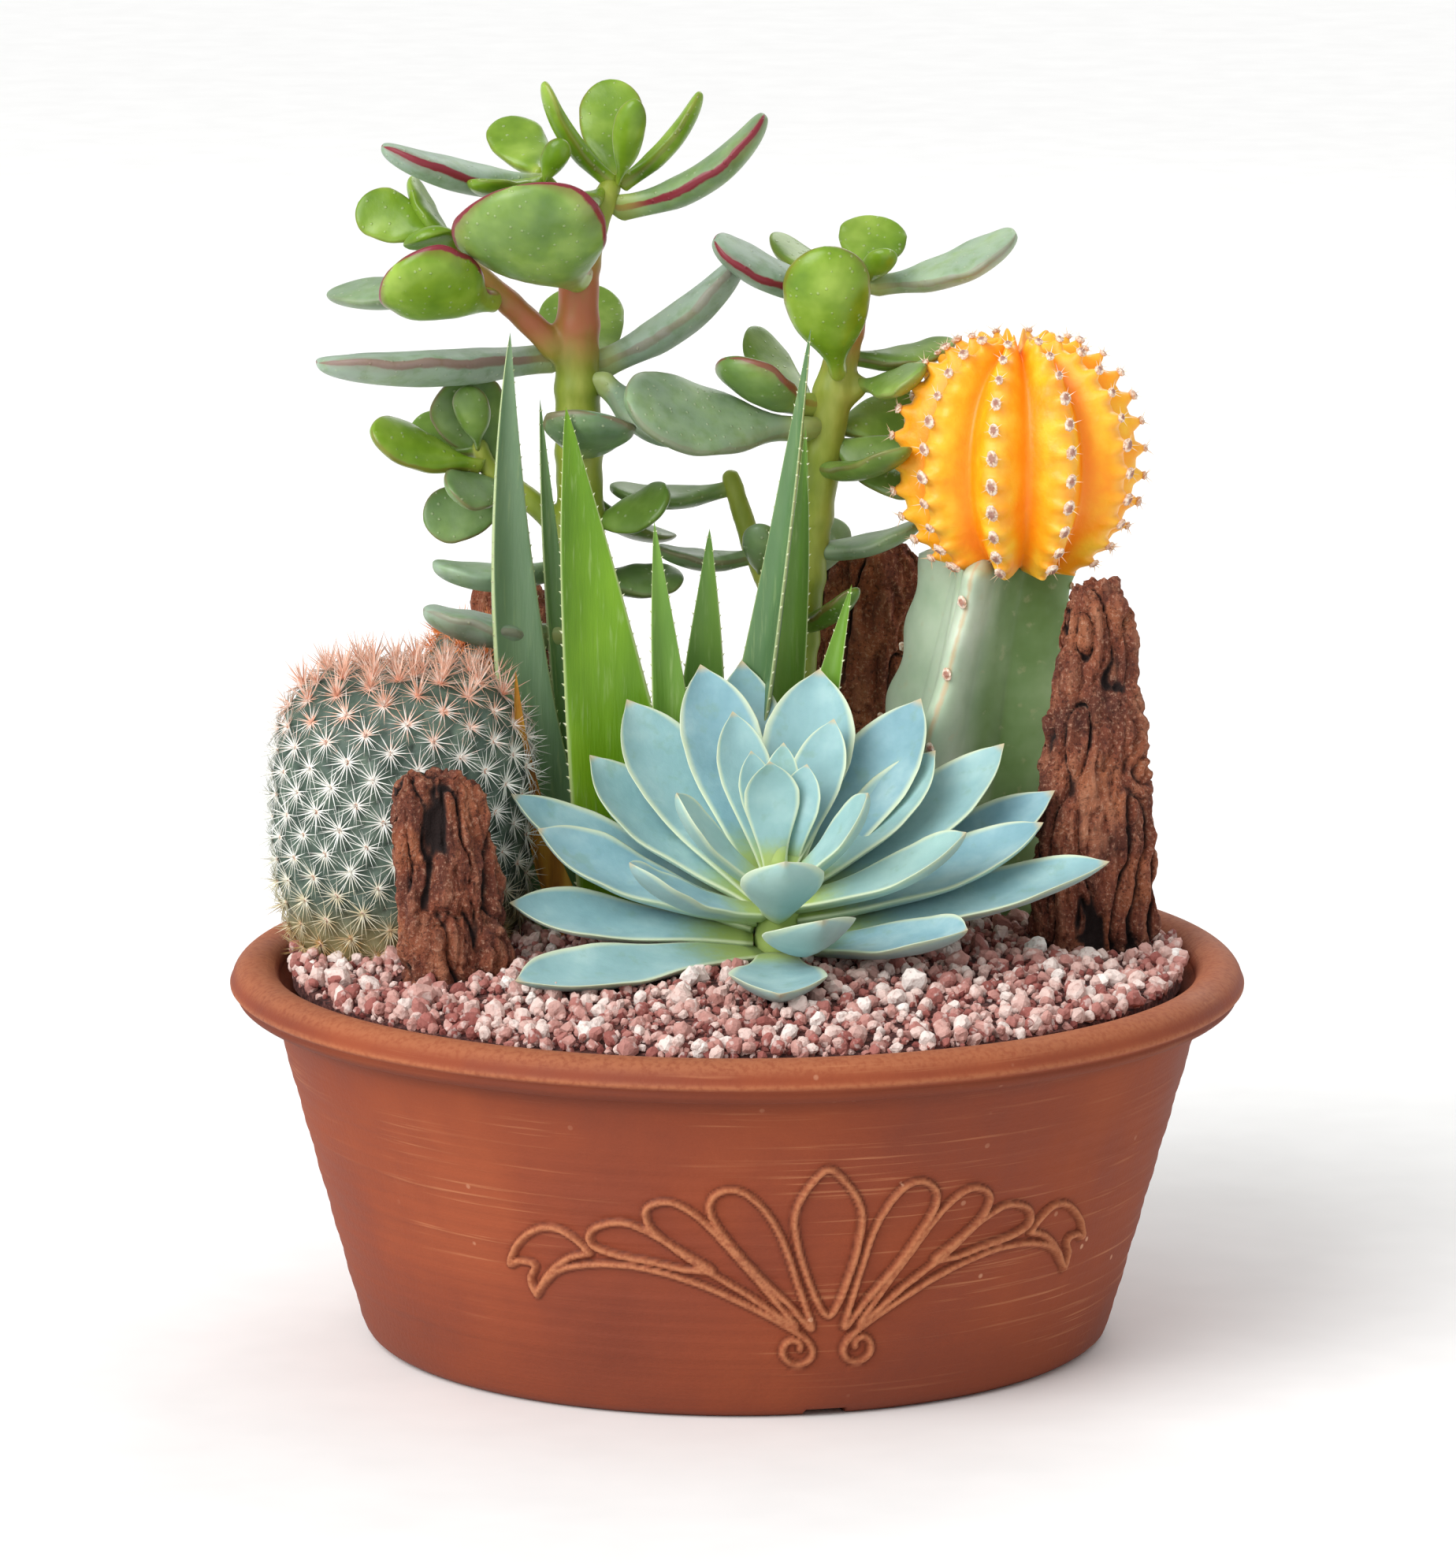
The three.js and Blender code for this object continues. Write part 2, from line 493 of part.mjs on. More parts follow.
const crownAxis = new THREE.Vector3(0, -Math.sin(ROSETTE.lean), Math.cos(ROSETTE.lean));

function echeveriaLeaf(tip, wide, height, grow = 0) {
  const at = vec(ROSETTE.crown).addScaledVector(crownAxis, height);
  const out = vec(tip).sub(at);
  const rise = out.dot(crownAxis) / out.length();
  out.addScaledVector(crownAxis, -out.dot(crownAxis)).normalize();
  const foot = at.addScaledVector(out, 6.2 - height * 0.25);
  const face = crownAxis.clone().multiplyScalar(Math.sqrt(1 - rise * rise)).addScaledVector(out, -rise);
  return leafGeometry({
    form: "echeveria", foot: foot.toArray(), tip, wide, thick: 3.6 + wide * 0.05, face: face.toArray(),
    bend: 0.06 * Math.min(1, (height - 2.5) / 5), cup: 0.25, grow,
  });
}

// The heart: the short stem with the innermost leaves grown as one with it.
function heartSolid(grow = 0) {
  const up = (h, r) => [...vec(ROSETTE.crown).addScaledVector(crownAxis, h).toArray(), r];
  let heart = solidOf(stemGeometry([[...ROSETTE.low, 5], up(-2, 5), up(10, 3.8), up(22, 1.6)], grow));
  for (const [tip, wide, height] of HEART_LEAVES)
    heart = heart.add(solidOf(echeveriaLeaf(tip, wide, height, grow)));
  return heart;
}

// ---- Assembly -----------------------------------------------------------------------------------
const part = new THREE.Group();
const placed = []; // { solid, grown }, what later pieces are kept clear of

function add(name, geometry, material) {
  const mesh = new THREE.Mesh(geometry, material);
  mesh.name = name;
  part.add(mesh);
}

function boxesMeet(a, b) {
  const [p, q] = [a.boundingBox(), b.boundingBox()];
  return [0, 1, 2].every((i) => p.min[i] < q.max[i] && q.min[i] < p.max[i]);
}

// Adds a piece that stands in the mix beside others: it is cut off flat at the top of the mix, and
// trimmed by a hair where it would press into its neighbours.
function grow(name, build, material) {
  let solid = build(0).trimByPlane([0, 0, 1], STAND);
  for (const other of placed) if (boxesMeet(solid, other)) solid = solid.subtract(other);
  const geometry = geometryFrom(solid);
  placed.push(build(GAP));
  add(name, geometry, material);
}

add("pot", potGeometry(), TERRACOTTA);
add("potting_mix", pottingMixGeometry(), SOIL);

grow("echeveria_heart", heartSolid, ECHEVERIA);
for (const [name, tip, wide, height] of ECHEVERIA_LEAVES)
  grow(name, (g) => solidOf(echeveriaLeaf(tip, wide, height, g)), ECHEVERIA);

for (const [name, foot, tip, wide, thick, face, bend, cup] of ALOE_LEAVES) {
  const leaf = { form: "aloe", foot, tip, wide, thick, face, bend, cup };
  grow(name, (g) => solidOf(leafGeometry({ ...leaf, grow: g })), name.endsWith("dry") ? DRY_LEAF : ALOE);
}

for (const [name, runs] of Object.entries(JADE_STEMS))
  grow(name, (g) => {
    let solid = runs.map((way) => solidOf(stemGeometry(way, g))).reduce((a, b) => a.add(b));
    for (const [foot, tip, wide, face] of YOUNG_LEAVES[name])
      solid = solid.add(solidOf(leafGeometry({ form: "jade", foot, tip, wide, thick: 4.5, face, grow: g })));
    return solid;
  }, JADE_STEM);
for (const [name, foot, tip, wide, thick, face, bend] of JADE_LEAVES) {
  const leaf = { form: "jade", foot, tip, wide, thick, face, bend };
  grow(name, (g) => solidOf(leafGeometry({ ...leaf, grow: g })), JADE);
}

const GLOBES = {
  globe_cactus: { at: [-73, 14, STAND], height: 75, radius: 28 },
  globe_cactus_small: { at: [-57, 55, STAND], height: 77, radius: 14, sides: 16 },
};
for (const [name, spec] of Object.entries(GLOBES))
  grow(name, (g) => solidOf(globeGeometry({ ...spec, grow: g })), GLOBE);
grow("graft_stock", (g) => solidOf(stockGeometry(g)), STOCK);
grow("moon_cactus", () => solidOf(scionGeometry()), SCION);
for (const [name, spec] of Object.entries(BARKS))
  grow(name, (g) => solidOf(barkGeometry({ ...spec, grow: g })), BARK);

// The gravel is poured last, round everything that stands in it.
let gravel = solidOf(gravelGeometry());
for (const other of placed) if (boxesMeet(gravel, other)) gravel = gravel.subtract(other);
add("gravel_top_dressing", geometryFrom(gravel), GRAVEL);

export default part;
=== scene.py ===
import math
import random

import bmesh
import bpy
import numpy as np
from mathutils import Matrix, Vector, noise


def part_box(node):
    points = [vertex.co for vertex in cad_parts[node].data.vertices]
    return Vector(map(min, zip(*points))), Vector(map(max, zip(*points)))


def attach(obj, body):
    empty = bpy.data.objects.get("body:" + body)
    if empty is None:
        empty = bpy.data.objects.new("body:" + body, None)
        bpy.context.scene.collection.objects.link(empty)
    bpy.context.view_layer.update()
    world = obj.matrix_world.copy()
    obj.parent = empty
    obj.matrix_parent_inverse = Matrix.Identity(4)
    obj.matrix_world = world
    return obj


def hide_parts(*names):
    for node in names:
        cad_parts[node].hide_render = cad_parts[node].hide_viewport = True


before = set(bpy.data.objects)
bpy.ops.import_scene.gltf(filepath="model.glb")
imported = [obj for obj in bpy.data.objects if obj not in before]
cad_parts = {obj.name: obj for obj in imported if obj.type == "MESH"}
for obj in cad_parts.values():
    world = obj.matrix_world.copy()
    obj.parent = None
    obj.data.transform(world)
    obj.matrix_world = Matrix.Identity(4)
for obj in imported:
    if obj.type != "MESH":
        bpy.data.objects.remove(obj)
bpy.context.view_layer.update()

bl_info = {
    "name": "Planted terracotta bowl",
    "version": (1, 0, 0),
    "blender": (4, 5, 0),
    "location": "View3D > Sidebar > Planted bowl",
    "description": "Builds a terracotta bowl planted with succulents and cacti, on a studio floor",
    "category": "Object",
}

MM = 0.001
ROOT = "root"


# ---- Small helpers ------------------------------------------------------------------------------
def linear(code, alpha=1.0):
    """A linear colour from an sRGB hex code such as "A9502C"."""
    parts = [int(code[i : i + 2], 16) / 255 for i in (0, 2, 4)]
    return tuple(c / 12.92 if c <= 0.04045 else ((c + 0.055) / 1.055) ** 2.4 for c in parts) + (alpha,)


def set_input(node, name, value):
    """Sets a socket by name or index: from a hex code, a plain value, another node or one output of it."""
    socket = node.inputs[name]
    if isinstance(value, bpy.types.Node):
        value = next(output for output in value.outputs if output.enabled)
    if isinstance(value, bpy.types.NodeSocket):
        node.id_data.links.new(value, socket)
    else:
        socket.default_value = linear(value) if socket.type == "RGBA" and isinstance(value, str) else value


# What a kind of node is set to here unless a call says otherwise
USUAL = {
    "Math": {"operation": "MULTIPLY"},
    "Mix": {"data_type": "RGBA"},
    "MapRange": {"interpolation_type": "SMOOTHSTEP"},
}


def add(tree, kind, inputs=(), stops=(), **settings):
    """Adds a node with its settings and links. A kind without "Node" in it is a shader node's.

    inputs is a dictionary of sockets, or a list for the sockets in use in their order. stops are the
    places and hex codes of a colour ramp."""
    node = tree.nodes.new(kind if "Node" in kind else "ShaderNode" + kind)
    for key, value in {**USUAL.get(kind, {}), **settings}.items():
        setattr(node, key, value)
    if not isinstance(inputs, dict):
        inputs = dict(zip((i for i, socket in enumerate(node.inputs) if socket.enabled), inputs))
    for name, value in inputs.items():
        set_input(node, name, value)
    for number, (position, code) in enumerate(stops):
        elements = node.color_ramp.elements
        element = elements[number] if number < 2 else elements.new(1.0)
        element.position, element.color = position, linear(code)
    return node


def smooth(t):
    t = np.clip(t, 0, 1)
    return t * t * (3 - 2 * t)


def mesh_object(name, points, faces, attributes=None, uv=None, shade_smooth=True):
    """A mesh object from arrays. attributes maps a name to one float per point."""
    mesh = bpy.data.meshes.new(name)
    mesh.from_pydata(np.asarray(points, float).tolist(), [], [tuple(int(i) for i in f) for f in faces])
    mesh.validate()
    if shade_smooth:
        mesh.polygons.foreach_set("use_smooth", [True] * len(mesh.polygons))
    for key, values in (attributes or {}).items():
        layer = mesh.attributes.new(key, "FLOAT", "POINT")
        layer.data.foreach_set("value", np.asarray(values, np.float32))
    if uv is not None:
        layer = mesh.uv_layers.new(name="UVMap")
        loops = np.zeros(len(mesh.loops), np.int32)
        mesh.loops.foreach_get("vertex_index", loops)
        layer.data.foreach_set("uv", np.asarray(uv, np.float32)[loops].ravel())
    thing = bpy.data.objects.new(name, mesh)
    bpy.context.scene.collection.objects.link(thing)
    return thing


def drop(thing):
    """Removes a working object and its mesh."""
    mesh = thing.data
    bpy.data.objects.remove(thing)
    bpy.data.meshes.remove(mesh)


def settle(thing, material, slot, *nodes):
    """Gives a finished piece its material and its body, and hides the CAD nodes it stands for."""
    if material is not None:
        thing.data.materials.clear()
        thing.data.materials.append(material)
    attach(thing, ROOT)
    if nodes:
        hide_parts(*nodes)
    return thing


def grid_faces(rows, columns, closed=True):
    """Quads over rows of points; each row closes on itself when closed is true."""
    last = columns if closed else columns - 1
    return [
        (k + i, k + (i + 1) % columns, k + columns + (i + 1) % columns, k + columns + i)
        for k in range(0, (rows - 1) * columns, columns)
        for i in range(last)
    ]


def tube_faces(rows, columns):
    """Faces of a tube of rings, closed by an end point and a start point that come after the rings."""
    last, end, start = (rows - 1) * columns, rows * columns, rows * columns + 1
    after = [(i + 1) % columns for i in range(columns)]
    ends = [(last + i, last + j, end) for i, j in enumerate(after)]
    return grid_faces(rows, columns) + ends + [(j, i, start) for i, j in enumerate(after)]


def applied(thing):
    """The mesh of an object once its modifiers are applied, as a new object in its place."""
    graph = bpy.context.evaluated_depsgraph_get()
    graph.update()
    mesh = bpy.data.meshes.new_from_object(thing.evaluated_get(graph), depsgraph=graph)
    name = thing.name
    drop(thing)
    made = bpy.data.objects.new(name, mesh)
    mesh.name = name
    bpy.context.scene.collection.objects.link(made)
    return made


def points_of(mesh):
    co = np.zeros(len(mesh.vertices) * 3)
    mesh.vertices.foreach_get("co", co)
    return co.reshape(-1, 3)


def noise_at(points, scale, seed=0.0, octaves=3):
    """Fractal noise, about -1 to 1, at points in metres. scale is in waves per metre."""
    shift = Vector((seed * 7.13, seed * 3.71, seed * 5.37))
    return np.array([noise.fractal(Vector(p) * scale + shift, 0.8, 2.0, octaves) for p in points])


# ---- Settings -----------------------------------------------------------------------------------
class BowlSettings(bpy.types.PropertyGroup):
    """Sizes of the bowl's visible detail."""

    bead_width: bpy.props.FloatProperty(
        name="Bead width", description="Width of the raised lines of the relief", default=1.65 * MM,
        unit="LENGTH",
    )
    bead_height: bpy.props.FloatProperty(
        name="Bead height", description="How far the raised lines stand out", default=1.25 * MM, unit="LENGTH"
    )
    relief_offset: bpy.props.FloatProperty(
        name="Relief offset", description="How far the relief's middle lies to the right of the front",
        default=19.0 * MM, unit="LENGTH",
    )
    clay: bpy.props.FloatVectorProperty(
        name="Clay", description="Colour of the fired clay", size=4, subtype="COLOR", default=linear("823A20")
    )


class GravelSettings(bpy.types.PropertyGroup):
    """How the gravel is laid."""

    grit_size: bpy.props.FloatProperty(
        name="Grit size", description="Usual width of the small stones", default=2.1 * MM, unit="LENGTH"
    )
    pebble_size: bpy.props.FloatProperty(
        name="Pebble size", description="Usual width of the large stones", default=3.5 * MM, unit="LENGTH"
    )
    seed: bpy.props.IntProperty(name="Seed", description="Which random layout of stones", default=4)


class LeafSettings(bpy.types.PropertyGroup):
    """How finely the leaves are made."""

    around: bpy.props.IntProperty(
        name="Points around", description="Points round a leaf's section", default=32, min=12,
    )
    along: bpy.props.IntProperty(name="Points along", description="Sections along a leaf", default=36, min=12)
    tooth_gap: bpy.props.FloatProperty(
        name="Tooth gap", description="Distance between the teeth on an aloe leaf's margin",
        default=2.9 * MM, unit="LENGTH",
    )
    tooth_length: bpy.props.FloatProperty(
        name="Tooth length", description="How far an aloe tooth stands out", default=1.0 * MM, unit="LENGTH"
    )


class CactusSettings(bpy.types.PropertyGroup):
    """Spines and knobs of the cacti."""

    tubercle_gap: bpy.props.FloatProperty(
        name="Tubercle gap", description="Distance between the knobs of a globe cactus",
        default=7.3 * MM, unit="LENGTH",
    )
    radial_spines: bpy.props.IntProperty(
        name="Radial spines", description="Spines in one star", default=21, min=6,
    )
    spine_length: bpy.props.FloatProperty(
        name="Spine length", description="Length of a radial spine", default=5.6 * MM, unit="LENGTH"
    )
    ribs: bpy.props.IntProperty(name="Ribs", description="Ribs of the grafted ball", default=10, min=6)


# ---- Materials ----------------------------------------------------------------------------------
def new_material(name, *fields):
    """A material, its tree, shader and Object coordinates, and the named fields that its mesh carries."""
    material = bpy.data.materials.new(name)
    material.use_nodes = True
    tree = material.node_tree
    shader = tree.nodes["Principled BSDF"]
    where = add(tree, "TexCoord").outputs["Object"]
    carried = [add(tree, "Attribute", attribute_name=field).outputs["Fac"] for field in fields]
    return material, tree, shader, where, *carried


def mottled(tree, where, scale, detail=4.0, rough=0.55, stretch=(1, 1, 1), turn=(0, 0, 0)):
    """Noise, about 0.3 to 0.7. scale is in waves per metre, stretch shortens waves along an axis."""
    mapping = add(tree, "Mapping", {"Vector": where, "Scale": stretch, "Rotation": turn})
    texture = add(
        tree, "TexNoise",
        {"Vector": mapping.outputs["Vector"], "Scale": scale, "Detail": detail, "Roughness": rough},
    )
    return texture.outputs["Fac"]


def terracotta_material():
    """Terracotta, thrown and fired unglazed: matte, mottled, with brushed scratches, painted highlight on the
    raised lines and the rim's top, and painted shade beside the lines and under the rim.
    """
    material, tree, shader, where, proud, hollow = new_material("terracotta", "proud", "hollow")
    settings = bpy.context.scene.bowl_settings
    clouds = mottled(tree, where, 22, 5)  # blotches about 45 mm wide
    base = add(tree, "ValToRGB", [clouds], stops=[(0.3, "6E2D18"), (0.5, "873D22"), (0.68, "9A4C2C")])
    base = add(tree, "Mix", [0.35, base, tuple(settings.clay)])
    # brush marks: hairlines about 0.5 mm wide and 30 mm long, nearly level
    marks = mottled(tree, where, 60, 3, 0.6, stretch=(0.35, 0.35, 16), turn=(0.03, 0.05, 0))
    wear = mottled(tree, where, 16, 2)
    scratches = add(
        tree, "Math",
        [add(tree, "MapRange", [marks, 0.56, 0.72]), add(tree, "MapRange", [wear, 0.45, 0.65])],
    )
    base = add(tree, "Mix", [add(tree, "Math", [scratches, 0.7]), base, "B87650"])
    # painted highlight: the raised lines and the rim's top are painted paler; painted shade: the grooves
    # beside the lines and the band under the rim are painted darker
    grit = mottled(tree, where, 900, 3)  # clay grain of about 1 mm
    base = add(
        tree, "Mix",
        [add(tree, "Math", [proud, add(tree, "MapRange", [grit, 0.3, 0.6, 0.35, 0.85])]), base, "BC7850"],
    )
    # hollow carries the painted shade: the grooves, the rim's lower edge and the wall under the rim
    base = add(tree, "Mix", [add(tree, "Math", [hollow, 0.6]), base, "562210"])
    # lime specks, scattered and small
    cells = add(tree, "TexVoronoi", {"Vector": where, "Scale": 130})
    specks = add(
        tree, "Math",
        [
            add(tree, "MapRange", [cells.outputs["Distance"], 0.1, 0.05]),
            add(tree, "MapRange", [wear, 0.5, 0.7]),
        ],
    )
    base = add(tree, "Mix", [add(tree, "Math", [specks, 0.7]), base, "D9A583"])
    # the foot is a little darker towards the bottom
    height = add(tree, "SeparateXYZ", {0: where}).outputs["Z"]
    low_darkening = add(tree, "Math", [add(tree, "MapRange", [height, 0.03, 0.0]), 0.35])
    base = add(tree, "Mix", [low_darkening, base, "64290F"])
    set_input(shader, "Base Color", base)
    set_input(shader, "Roughness", add(tree, "MapRange", [clouds, 0.3, 0.7, 0.62, 0.85]))
    shader.inputs["Specular IOR Level"].default_value = 0.35
    fine = add(tree, "Bump", {"Height": grit, "Distance": 0.12 * MM})
    set_input(shader, "Normal", add(tree, "Bump", {"Height": marks, "Distance": 0.14 * MM, "Normal": fine}))
    return material


def gravel_material():
    """Crushed pink feldspar gravel, dry and matte: each stone has its own tint, with grainy faces."""
    material, tree, shader, where, tint = new_material("pink_gravel", "tint")
    base = add(
        tree, "ValToRGB", [tint],
        stops=[(0.0, "6E2F2A"), (0.2, "A5625A"), (0.45, "CB9C92"), (0.7, "E2CAC1"), (1.0, "F4EFE9")],
    )
    grain = mottled(tree, where, 1100, 4)
    base = add(tree, "Mix", [add(tree, "MapRange", [grain, 0.52, 0.72, 0, 0.5]), base, "A56A5E"])
    veins = mottled(tree, where, 420, 2)
    base = add(tree, "Mix", [add(tree, "MapRange", [veins, 0.56, 0.66, 0, 0.4]), base, "F4EBE4"])
    set_input(shader, "Base Color", base)
    shader.inputs["Roughness"].default_value = 0.88
    set_input(shader, "Normal", add(tree, "Bump", {"Height": grain, "Distance": 0.3 * MM}))
    return material


def grit_bed_painted_shade_material():
    """Fine grit between the stones, coloured dark red-brown as painted shade in the gaps."""
    material, tree, shader, where = new_material("grit_bed")
    grain = mottled(tree, where, 700, 5)
    set_input(
        shader, "Base Color",
        add(tree, "ValToRGB", [grain], stops=[(0.3, "241010"), (0.5, "4C2320"), (0.7, "82544C")]),
    )
    shader.inputs["Roughness"].default_value = 0.95
    set_input(shader, "Normal", add(tree, "Bump", {"Height": grain, "Distance": 0.8 * MM}))
    return material


def potting_mix_material():
    """Peat potting mix with bark fines, dark and crumbly."""
    material, tree, shader, where = new_material("potting_mix")
    grain = mottled(tree, where, 300, 5)
    set_input(
        shader, "Base Color",
        add(tree, "ValToRGB", [grain], stops=[(0.3, "1C130E"), (0.55, "3A2A20"), (0.75, "5A4433")]),
    )
    shader.inputs["Roughness"].default_value = 0.97
    set_input(shader, "Normal", add(tree, "Bump", {"Height": grain, "Distance": 1.2 * MM}))
    return material


def bark_material():
    """Pine bark, weathered: red-brown plates, near-black fissures deepened by painted shade, and paler orange
    broken edges brightened by painted highlight on the ridges.
    """
    material, tree, shader, where, depth = new_material("pine_bark", "depth")
    fibres = mottled(tree, where, 420, 4, 0.6, stretch=(1, 1, 0.22))
    patches = mottled(tree, where, 70, 3)
    base = add(tree, "ValToRGB", [patches], stops=[(0.32, "5A2A1C"), (0.5, "87462E"), (0.68, "AE6844")])
    base = add(tree, "Mix", [add(tree, "MapRange", [fibres, 0.5, 0.7, 0, 0.6]), base, "AD7153"])
    crumbs = mottled(tree, where, 1100, 4, 0.7)
    base = add(tree, "Mix", [add(tree, "MapRange", [crumbs, 0.54, 0.64, 0, 0.6]), base, "C99A80"])
    base = add(tree, "Mix", [add(tree, "MapRange", [crumbs, 0.46, 0.36, 0, 0.7]), base, "33130E"])
    base = add(tree, "Mix", [add(tree, "MapRange", [fibres, 0.5, 0.3, 0, 0.6]), base, "4A2118"])
    # painted highlight on the ridges and painted shade in the cracks, on top of the bark's own paler edges
    # and darker fissures
    base = add(tree, "Mix", [add(tree, "MapRange", [depth, 0.62, 0.95, 0, 0.55]), base, "BE8262"])
    base = add(tree, "Mix", [add(tree, "MapRange", [depth, 0.36, 0.04]), base, "1F0E0B"])
    set_input(shader, "Base Color", base)
    set_input(shader, "Roughness", add(tree, "MapRange", [patches, 0.3, 0.7, 0.8, 0.95]))
    set_input(
        shader, "Normal",
        add(
            tree, "Bump",
            {"Height": add(tree, "Math", [fibres, crumbs], operation="ADD"), "Distance": 1.1 * MM},
        ),
    )
    return material


def waxy(shader, roughness, weight=0.12, radius=(0.5, 0.9, 0.3), scale=2.0 * MM):
    """Settings that all the fleshy skins share: light goes a little way in, and the wax has IOR 1.45."""
    shader.inputs["Roughness"].default_value = roughness
    shader.inputs["IOR"].default_value = 1.45
    shader.inputs["Subsurface Weight"].default_value = weight
    shader.inputs["Subsurface Radius"].default_value = radius
    shader.inputs["Subsurface Scale"].default_value = scale


def jade_leaf_material():
    """Jade plant leaf: fleshy and glossy lime to olive green, grey bloom on old leaves, wine-red margins."""
    material, tree, shader, where, tint, bloom, blush, across, along = new_material(
        "jade_leaf", "tint", "bloom", "blush", "across", "along",
    )
    clouds = mottled(tree, where, 90, 3)
    young = add(tree, "ValToRGB", [clouds], stops=[(0.3, "5F8410"), (0.5, "7A9C22"), (0.72, "9DBA46")])
    old = add(tree, "ValToRGB", [clouds], stops=[(0.3, "39591F"), (0.5, "4A6B2C"), (0.72, "6B8A4B")])
    base = add(tree, "Mix", [tint, young, old])
    # hydathodes: pale dots about 0.4 mm wide, 2 mm apart
    cells = add(tree, "TexVoronoi", {"Vector": where, "Scale": 480})
    dots = add(tree, "MapRange", [cells.outputs["Distance"], 0.2, 0.1])
    powder = mottled(tree, where, 260, 4)
    frost = add(tree, "Math", [bloom, add(tree, "MapRange", [powder, 0.25, 0.6, 0.55, 1.0])])
    base = add(tree, "Mix", [add(tree, "Math", [frost, 0.95]), base, "B4C6BE"])
    base = add(tree, "Mix", [add(tree, "Math", [dots, 0.22]), base, "D5DDB8"])
    # the margin reddens, most towards the tip and on the lower side of stressed leaves
    ragged = add(tree, "Math", [across, add(tree, "Math", [powder, 0.12])], operation="ADD")
    edge = add(tree, "MapRange", [ragged, 0.985, 1.03])
    wash = add(
        tree, "Math",
        [add(tree, "MapRange", [across, 0.7, 1.0]), add(tree, "MapRange", [along, 0.5, 1.0])],
    )
    red = add(
        tree, "Math",
        [add(tree, "Math", [edge, add(tree, "Math", [wash, 0.5])], operation="ADD", use_clamp=True), blush],
        use_clamp=True,
    )
    base = add(tree, "Mix", [red, base, "7E2430"])
    foot = add(tree, "MapRange", [along, 0.16, 0.0, 0, 0.5])
    base = add(tree, "Mix", [foot, base, "A9B24A"])
    set_input(shader, "Base Color", base)
    waxy(shader, 0.34, 0.16)
    set_input(
        shader, "Roughness", add(tree, "Math", [0.3, add(tree, "Math", [bloom, 0.3])], operation="ADD"),
    )
    set_input(
        shader, "Normal",
        add(
            tree, "Bump",
            {"Height": add(tree, "Math", [dots, powder], operation="ADD"), "Distance": 0.12 * MM},
        ),
    )
    return material


def jade_stem_material():
    """Jade plant stem: smooth fleshy green, reddening between the upper joints, corky low down."""
    material, tree, shader, where = new_material("jade_stem")
    height = add(tree, "SeparateXYZ", {0: where}).outputs["Z"]
    clouds = mottled(tree, where, 110, 4, stretch=(1, 1, 0.4))
    base = add(tree, "ValToRGB", [clouds], stops=[(0.3, "6B7D22"), (0.5, "87962F"), (0.72, "A9AE52")])
    red = add(
        tree, "Math",
        [add(tree, "MapRange", [height, 0.203, 0.217]), add(tree, "MapRange", [height, 0.236, 0.224])],
    )
    base = add(
        tree, "Mix",
        [add(tree, "Math", [red, add(tree, "MapRange", [clouds, 0.3, 0.6, 0.5, 0.9])]), base, "A8543C"],
    )
    cork = add(
        tree, "Math",
        [add(tree, "MapRange", [height, 0.15, 0.09]), add(tree, "MapRange", [clouds, 0.4, 0.6, 0.2, 0.8])],
    )
    base = add(tree, "Mix", [cork, base, "7A6A45"])
    set_input(shader, "Base Color", base)
    waxy(shader, 0.45, 0.1)
    set_input(shader, "Normal", add(tree, "Bump", {"Height": clouds, "Distance": 0.5 * MM}))
    return material


def echeveria_material():
    """Echeveria leaf: blue-green under a matte powdery wax, yellow-green foot, thin pale margin."""
    material, tree, shader, where, across, along, side, tint = new_material(
        "echeveria_leaf", "across", "along", "side", "tint",
    )
    clouds = mottled(tree, where, 75, 4)
    base = add(tree, "ValToRGB", [clouds], stops=[(0.3, "6E9BAA"), (0.5, "86B0BC"), (0.72, "AACBD0")])
    base = add(tree, "Mix", [add(tree, "Math", [tint, 0.55]), base, "A9CDB8"])
    # wax is rubbed off in small patches
    rubbed = add(tree, "MapRange", [mottled(tree, where, 210, 5), 0.56, 0.7, 0, 0.35])
    base = add(tree, "Mix", [rubbed, base, "7FA38C"])
    veins = mottled(tree, where, 600, 3)
    foot = add(
        tree, "MapRange",
        [add(tree, "Math", [along, add(tree, "Math", [veins, 0.12])], operation="ADD"), 0.42, 0.14, 0, 0.9],
    )
    base = add(tree, "Mix", [foot, base, "A3B750"])
    margin = add(tree, "MapRange", [across, 0.8, 0.985, 0, 0.85])
    base = add(tree, "Mix", [margin, base, "D8E3BE"])
    base = add(tree, "Mix", [add(tree, "MapRange", [along, 0.955, 0.995, 0, 0.85]), base, "C9B58A"])
    base = add(tree, "Mix", [add(tree, "MapRange", [side, 0.5, 0.2, 0, 0.35]), base, "AEC9B8"])
    set_input(shader, "Base Color", base)
    waxy(shader, 0.62, 0.14, (0.6, 0.9, 0.6))
    shader.inputs["Sheen Weight"].default_value = 0.12
    set_input(shader, "Normal", add(tree, "Bump", {"Height": veins, "Distance": 0.1 * MM}))
    return material


